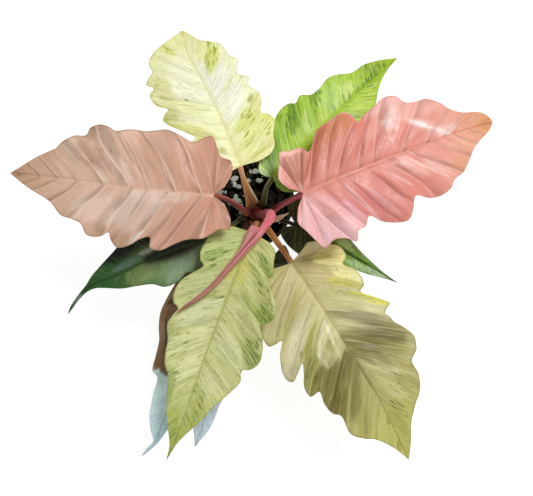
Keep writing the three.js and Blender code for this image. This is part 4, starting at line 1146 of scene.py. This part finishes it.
def make_bract():
    place, outward = beside_stem(BRACT_LEVEL, BRACT_TURN, BRACT_HALF_THICKNESS + CLEARANCE)

    def outline(reached, angles):
        width = np.interp(reached, range(4), BRACT_HALF_WIDTHS)
        x = np.cos(angles) * width
        trough = 0.12 * x**2 / max(width, 1)
        return x, np.sin(angles) * BRACT_HALF_THICKNESS * 0.5 - trough

    skin = stalk_material("bract_paper", ("#dda488", "#ffdcc2", "#ffeada", "#ffd8bc"), roughness=0.6)
    across = np.cross((0, 0, 1), outward)
    make_limb("papery_bract", [place, *BRACT_ROUTE], LIMB_STEPS, across, outline, skin, "bract")


# Stem, soil and pot

def make_stem():
    """A short stem with the rings that old leaves leave."""
    axis = STEM_TOP - STEM_FOOT

    def outline(reached, angles):
        share = reached / STEM_SPANS
        radius = STEM_FOOT_RADIUS + (STEM_TOP_RADIUS - STEM_FOOT_RADIUS) * share
        ring = STEM_RING_RISE * math.exp(-(((share * STEM_RINGS) % 1 - 0.5) / 0.12) ** 2)
        lumpy = 0.35 * wander(np.cos(angles) * 1.5, np.sin(angles) * 1.5, share * 9)
        folds = smoothstep(0.8, 0.95, share) * (0.5 * np.cos(7 * angles) - 0.3)
        reach = radius + ring + lumpy + folds
        return np.cos(angles) * reach, np.sin(angles) * reach

    points = STEM_FOOT + axis * np.linspace(0, 1, STEM_SPANS + 1)[:, None]
    skin = stalk_material("stem_skin", ("#4c3f28", "#6a5a38", "#8a3034", "#6a2226"), roughness=0.6)
    across = unit(np.cross((0, 0, 1), axis))
    make_limb("main_stem", points, STEM_STEPS, across, outline, skin, "stem")


def pot_side(height):
    share = height / POT_HEIGHT
    return POT_BASE_RADIUS + (POT_RIM_RADIUS - RIM_BAND_DEPTH - POT_BASE_RADIUS) * share


def turned(name, profile, sides, materials):
    """A profile of (radius, height) turned about the vertical axis, closed at both ends on the axis."""
    angles = circle(sides)
    inner = profile[1:-1]
    vertices = [(0, 0, profile[0][1])]
    for radius, height in inner:
        vertices.extend(zip(radius * np.cos(angles), radius * np.sin(angles), [height] * sides))
    vertices.append((0, 0, profile[-1][1]))
    faces = []
    for k in range(sides):
        after = (k + 1) % sides
        faces.append([0, 1 + after, 1 + k])
        for i in range(len(inner) - 1):
            a, b = 1 + i * sides + k, 1 + i * sides + after
            faces.append([a, b, b + sides, a + sides])
        top = 1 + (len(inner) - 1) * sides
        faces.append([len(vertices) - 1, top + k, top + after])
    return mesh_object(name, vertices, faces, materials)


def pot_material():
    graph = Graph("pot_plastic")
    place = graph.place()
    cloud = graph.noise(place, scale=35, detail=4, roughness=0.6)
    grain = graph.noise(place, scale=2500, detail=2)
    scuffs = graph.noise(graph.stretched(place, (60, 60, 400)), detail=3, roughness=0.7)
    cloudy = (graph.smooth(cloud, 0.35, 0.7), "#232321")
    base = graph.over("#171716", cloudy, (graph.smooth(scuffs, 0.62, 0.8, 0, 0.5), "#3a3935"))
    return graph.finish(base, graph.smooth(cloud, 0.3, 0.7, 0.42, 0.58), grain, 0.0001)


def make_pot():
    """A tapered pot with a rim band, a raised bottom with drainage holes and a rounded lip."""
    band_foot = POT_HEIGHT - RIM_BAND_HEIGHT
    foot_ring = POT_BASE_RADIUS - FOOT_RING_WIDTH
    rounding = 0.5
    profile = [
        (0, FOOT_RING_DEPTH), (PLAIN_MIDDLE_RADIUS, FOOT_RING_DEPTH),
        (foot_ring - FOOT_RING_DEPTH, FOOT_RING_DEPTH), (foot_ring, 0),
        (POT_BASE_RADIUS - rounding, 0), (POT_BASE_RADIUS, rounding),
        (pot_side(band_foot * 0.5), band_foot * 0.5),
        (pot_side(band_foot), band_foot),
        (pot_side(band_foot) + RIM_BAND_DEPTH - rounding, band_foot),
        (pot_side(band_foot) + RIM_BAND_DEPTH, band_foot + rounding),
        (POT_RIM_RADIUS, POT_HEIGHT - RIM_LIP),
        (POT_RIM_RADIUS - RIM_LIP / 5, POT_HEIGHT - RIM_LIP / 4),
        (POT_RIM_RADIUS - RIM_LIP / 2, POT_HEIGHT),
        (pot_side(POT_HEIGHT) - POT_WALL + rounding / 2, POT_HEIGHT),
        (pot_side(POT_HEIGHT) - POT_WALL, POT_HEIGHT - rounding),
        (pot_side(POT_FLOOR) - POT_WALL, POT_FLOOR),
        (0, POT_FLOOR),
    ]
    pot = turned("nursery_pot", profile, POT_SIDES, [pot_material()])
    cutter_mesh = bpy.data.meshes.new("drain_cutter")
    bm = bmesh.new()
    radius = DRAIN_HOLE_RADIUS * MM
    length = DRAIN_CUTTER_LENGTH * MM
    for i in range(DRAIN_HOLE_COUNT):
        angle = i / DRAIN_HOLE_COUNT * 2 * math.pi
        rod = bmesh.ops.create_cone(
            bm, cap_ends=True, segments=DRAIN_HOLE_SIDES, depth=length, radius1=radius, radius2=radius)
        x = DRAIN_RING_RADIUS * math.cos(angle) * MM
        y = DRAIN_RING_RADIUS * math.sin(angle) * MM
        bmesh.ops.translate(bm, verts=rod["verts"], vec=(x, y, 0))
    bm.to_mesh(cutter_mesh)
    bm.free()
    cutter = linked("drain_cutter", cutter_mesh)
    modifier = pot.modifiers.new("drain_holes", "BOOLEAN")
    modifier.operation = "DIFFERENCE"
    modifier.object = cutter
    graph = bpy.context.evaluated_depsgraph_get()
    cut = bpy.data.meshes.new_from_object(pot.evaluated_get(graph))
    pot.modifiers.clear()
    pot.data = cut
    bpy.data.objects.remove(cutter)
    pot.data.set_sharp_from_angle(angle=math.radians(SHARP_EDGE_DEGREES))
    stands_for(pot, "pot")


def crumb(rng, centre, size, flatness, stretch, fineness):
    """An angular crumb: a rough little ball with its points pushed in and out."""
    bm = bmesh.new()
    bmesh.ops.create_icosphere(bm, subdivisions=fineness, radius=1)
    seed = Vector((rng.uniform(0, 90), rng.uniform(0, 90), rng.uniform(0, 90)))
    turn = rng.uniform(0, math.pi)
    lean = rng.uniform(-0.5, 0.5)
    vertices = []
    for vertex in bm.verts:
        push = 1 + CRUMB_ROUGHNESS * noise.noise(vertex.co * 1.6 + seed)
        x, y, z = vertex.co * push * size
        x *= stretch
        z *= flatness
        x, z = x * math.cos(lean) - z * math.sin(lean), x * math.sin(lean) + z * math.cos(lean)
        x, y = x * math.cos(turn) - y * math.sin(turn), x * math.sin(turn) + y * math.cos(turn)
        vertices.append((centre[0] + x, centre[1] + y, centre[2] + z))
    faces = [[v.index for v in face.verts] for face in bm.faces]
    bm.free()
    return vertices, faces


def soil_materials():
    """Dark potting mix, white perlite and brown bark."""
    graph = Graph("potting_mix")
    crumbs = graph.noise(graph.place(), scale=420, detail=5, roughness=0.7)
    clods = graph.noise(graph.place(), scale=120, detail=3)
    crumbly = (graph.smooth(crumbs, 0.35, 0.7), "#0f0b08")
    base = graph.over("#020202", crumbly, (graph.smooth(clods, 0.5, 0.75, 0, 0.4), "#181109"))
    mix = graph.finish(base, 0.95, graph.math("ADD", crumbs, clods), 0.0012, specular=0.05)

    graph = Graph("perlite")
    pits = graph.noise(graph.place(), scale=900, detail=3)
    base = graph.mix(graph.smooth(pits, 0.35, 0.6), "#aebabf", "#e6f0f4")
    perlite = graph.finish(base, 0.85, pits, 0.0001)

    graph = Graph("bark_chips")
    grain = graph.noise(graph.stretched(graph.place(), (300, 300, 1200)), detail=4)
    base = graph.mix(graph.smooth(grain, 0.35, 0.7), "#0d0906", "#2a1d12")
    return [mix, perlite, graph.finish(base, 0.85, grain, 0.0006)]


def make_soil():
    """Potting mix with a crumbly top, bark chips and perlite."""
    rng = random.Random(11)
    foot = POT_FLOOR + CLEARANCE
    wall = POT_WALL + CLEARANCE
    edge = pot_side(SOIL_TOP) - wall
    profile = [(0, foot), (pot_side(foot) - wall, foot)]
    for i in range(SOIL_RINGS):
        share = i / SOIL_RINGS
        profile.append((edge * (1 - share), SOIL_TOP + SOIL_CROWN * smoothstep(0, 0.6, share)))
    profile.append((0, SOIL_TOP + SOIL_CROWN))
    materials = soil_materials()
    soil = turned("potting_soil", profile, SOIL_SIDES, materials)
    for vertex in soil.data.vertices:
        if vertex.co.z > 0.5 * SOIL_TOP * MM:
            lump = sum(noise.noise(vertex.co * density) * rise for density, rise in SOIL_LUMPS)
            vertex.co.z += lump * MM
    stem_share = (SOIL_TOP - STEM_FOOT[2]) / (STEM_TOP[2] - STEM_FOOT[2])
    stem_x, stem_y = (STEM_FOOT + (STEM_TOP - STEM_FOOT) * stem_share)[:2]
    vertices, faces, kinds = [], [], []

    def scatter(x, y, size, flatness, kind, sink):
        past_edge = math.hypot(x, y) + size > edge - CRUMB_MARGIN
        if past_edge or math.hypot(x - stem_x, y - stem_y) < STEM_FOOT_RADIUS + size:
            return
        stretch, fineness = (1.7, 1) if kind == PERLITE else (1.25, 2)
        centre = (x, y, SOIL_TOP + SOIL_CROWN + size * sink)
        points, triangles = crumb(rng, centre, size, flatness, stretch, fineness)
        faces.extend([[len(vertices) + k for k in face] for face in triangles])
        vertices.extend(points)
        kinds.extend([kind] * len(triangles))

    def scatter_anywhere(count, sizes, flatness, kind, sink):
        for _ in range(count):
            angle, radius = rng.uniform(0, 2 * math.pi), edge * math.sqrt(rng.random())
            size = rng.uniform(*sizes)
            scatter(radius * math.cos(angle), radius * math.sin(angle), size, flatness, kind, sink)

    for x, y, reach in PERLITE_CLUMPS:
        for _ in range(PERLITE_PER_CLUMP):
            x_off, y_off = rng.gauss(0, reach * 0.5), rng.gauss(0, reach * 0.5)
            size = rng.uniform(*PERLITE_SIZES)
            scatter(x + x_off, y + y_off, size, flatness=0.55, kind=PERLITE, sink=0.15)
    scatter_anywhere(LOOSE_PERLITE, LOOSE_PERLITE_SIZES, flatness=0.75, kind=PERLITE, sink=0)
    scatter_anywhere(BARK_CHIPS, BARK_SIZES, flatness=0.35, kind=BARK, sink=0.05)
    crumbs = mesh_object("soil_crumbs", vertices, faces, materials, kinds)
    crumbs.data.shade_flat()
    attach(crumbs, "root")
    stands_for(soil, "soil")


# Floor, lights and camera

def make_floor():
    graph = Graph("studio_floor")
    speck = graph.noise(graph.place(), scale=3, detail=2)
    base = graph.mix(graph.smooth(speck, 0.3, 0.7), "#b4b4b3", "#b8b8b7")
    glow = {"Emission Color": (1, 1, 1, 1), "Emission Strength": FLOOR_GLOW}
    half = FLOOR_HALF_WIDTH
    corners = [(-half, -half, 0), (half, -half, 0), (half, half, 0), (-half, half, 0)]
    floor = mesh_object("floor", corners, [[0, 1, 2, 3]], [graph.finish(base, 0.9, **glow)])


def make_lights():
    world = bpy.data.worlds.new("studio")
    world.use_nodes = True
    background = world.node_tree.nodes["Background"]
    background.inputs["Color"].default_value = (1, 1, 1, 1)
    background.inputs["Strength"].default_value = SKY_STRENGTH
    bpy.context.scene.world = world
    sun = bpy.data.lights.new("key", "SUN")
    sun.energy = SUN_STRENGTH
    sun.angle = math.radians(SUN_SPREAD_DEGREES)
    key = linked("key", sun)
    toward = Vector(SUN_SIDE)
    key.rotation_euler = toward.to_track_quat("Z", "Y").to_euler()
    key.location = toward * 2


def make_camera():
    """The photo looks almost straight down, from a little in front of the plant."""
    elevation = math.radians(83)
    distance = 1.15
    aim = Vector((0.0288, -0.0729, 0.25))
    focal_pixels = 1150
    frame_width = 533
    data = bpy.data.cameras.new("camera")
    data.sensor_fit = "HORIZONTAL"
    data.sensor_width = 36
    data.lens = data.sensor_width * focal_pixels / frame_width
    camera = linked("camera", data)
    camera.location = aim + distance * Vector((0, -math.cos(elevation), math.sin(elevation)))
    camera.rotation_euler = (math.pi / 2 - elevation, 0, 0)
    bpy.context.scene.camera = camera


make_camera()
make_lights()
make_floor()
make_pot()
make_soil()
make_stem()
for leaf in LEAVES:
    make_blade(leaf)
    make_petiole(leaf)
make_spike()
make_bract()
bpy.context.scene.view_settings.view_transform = "Standard"
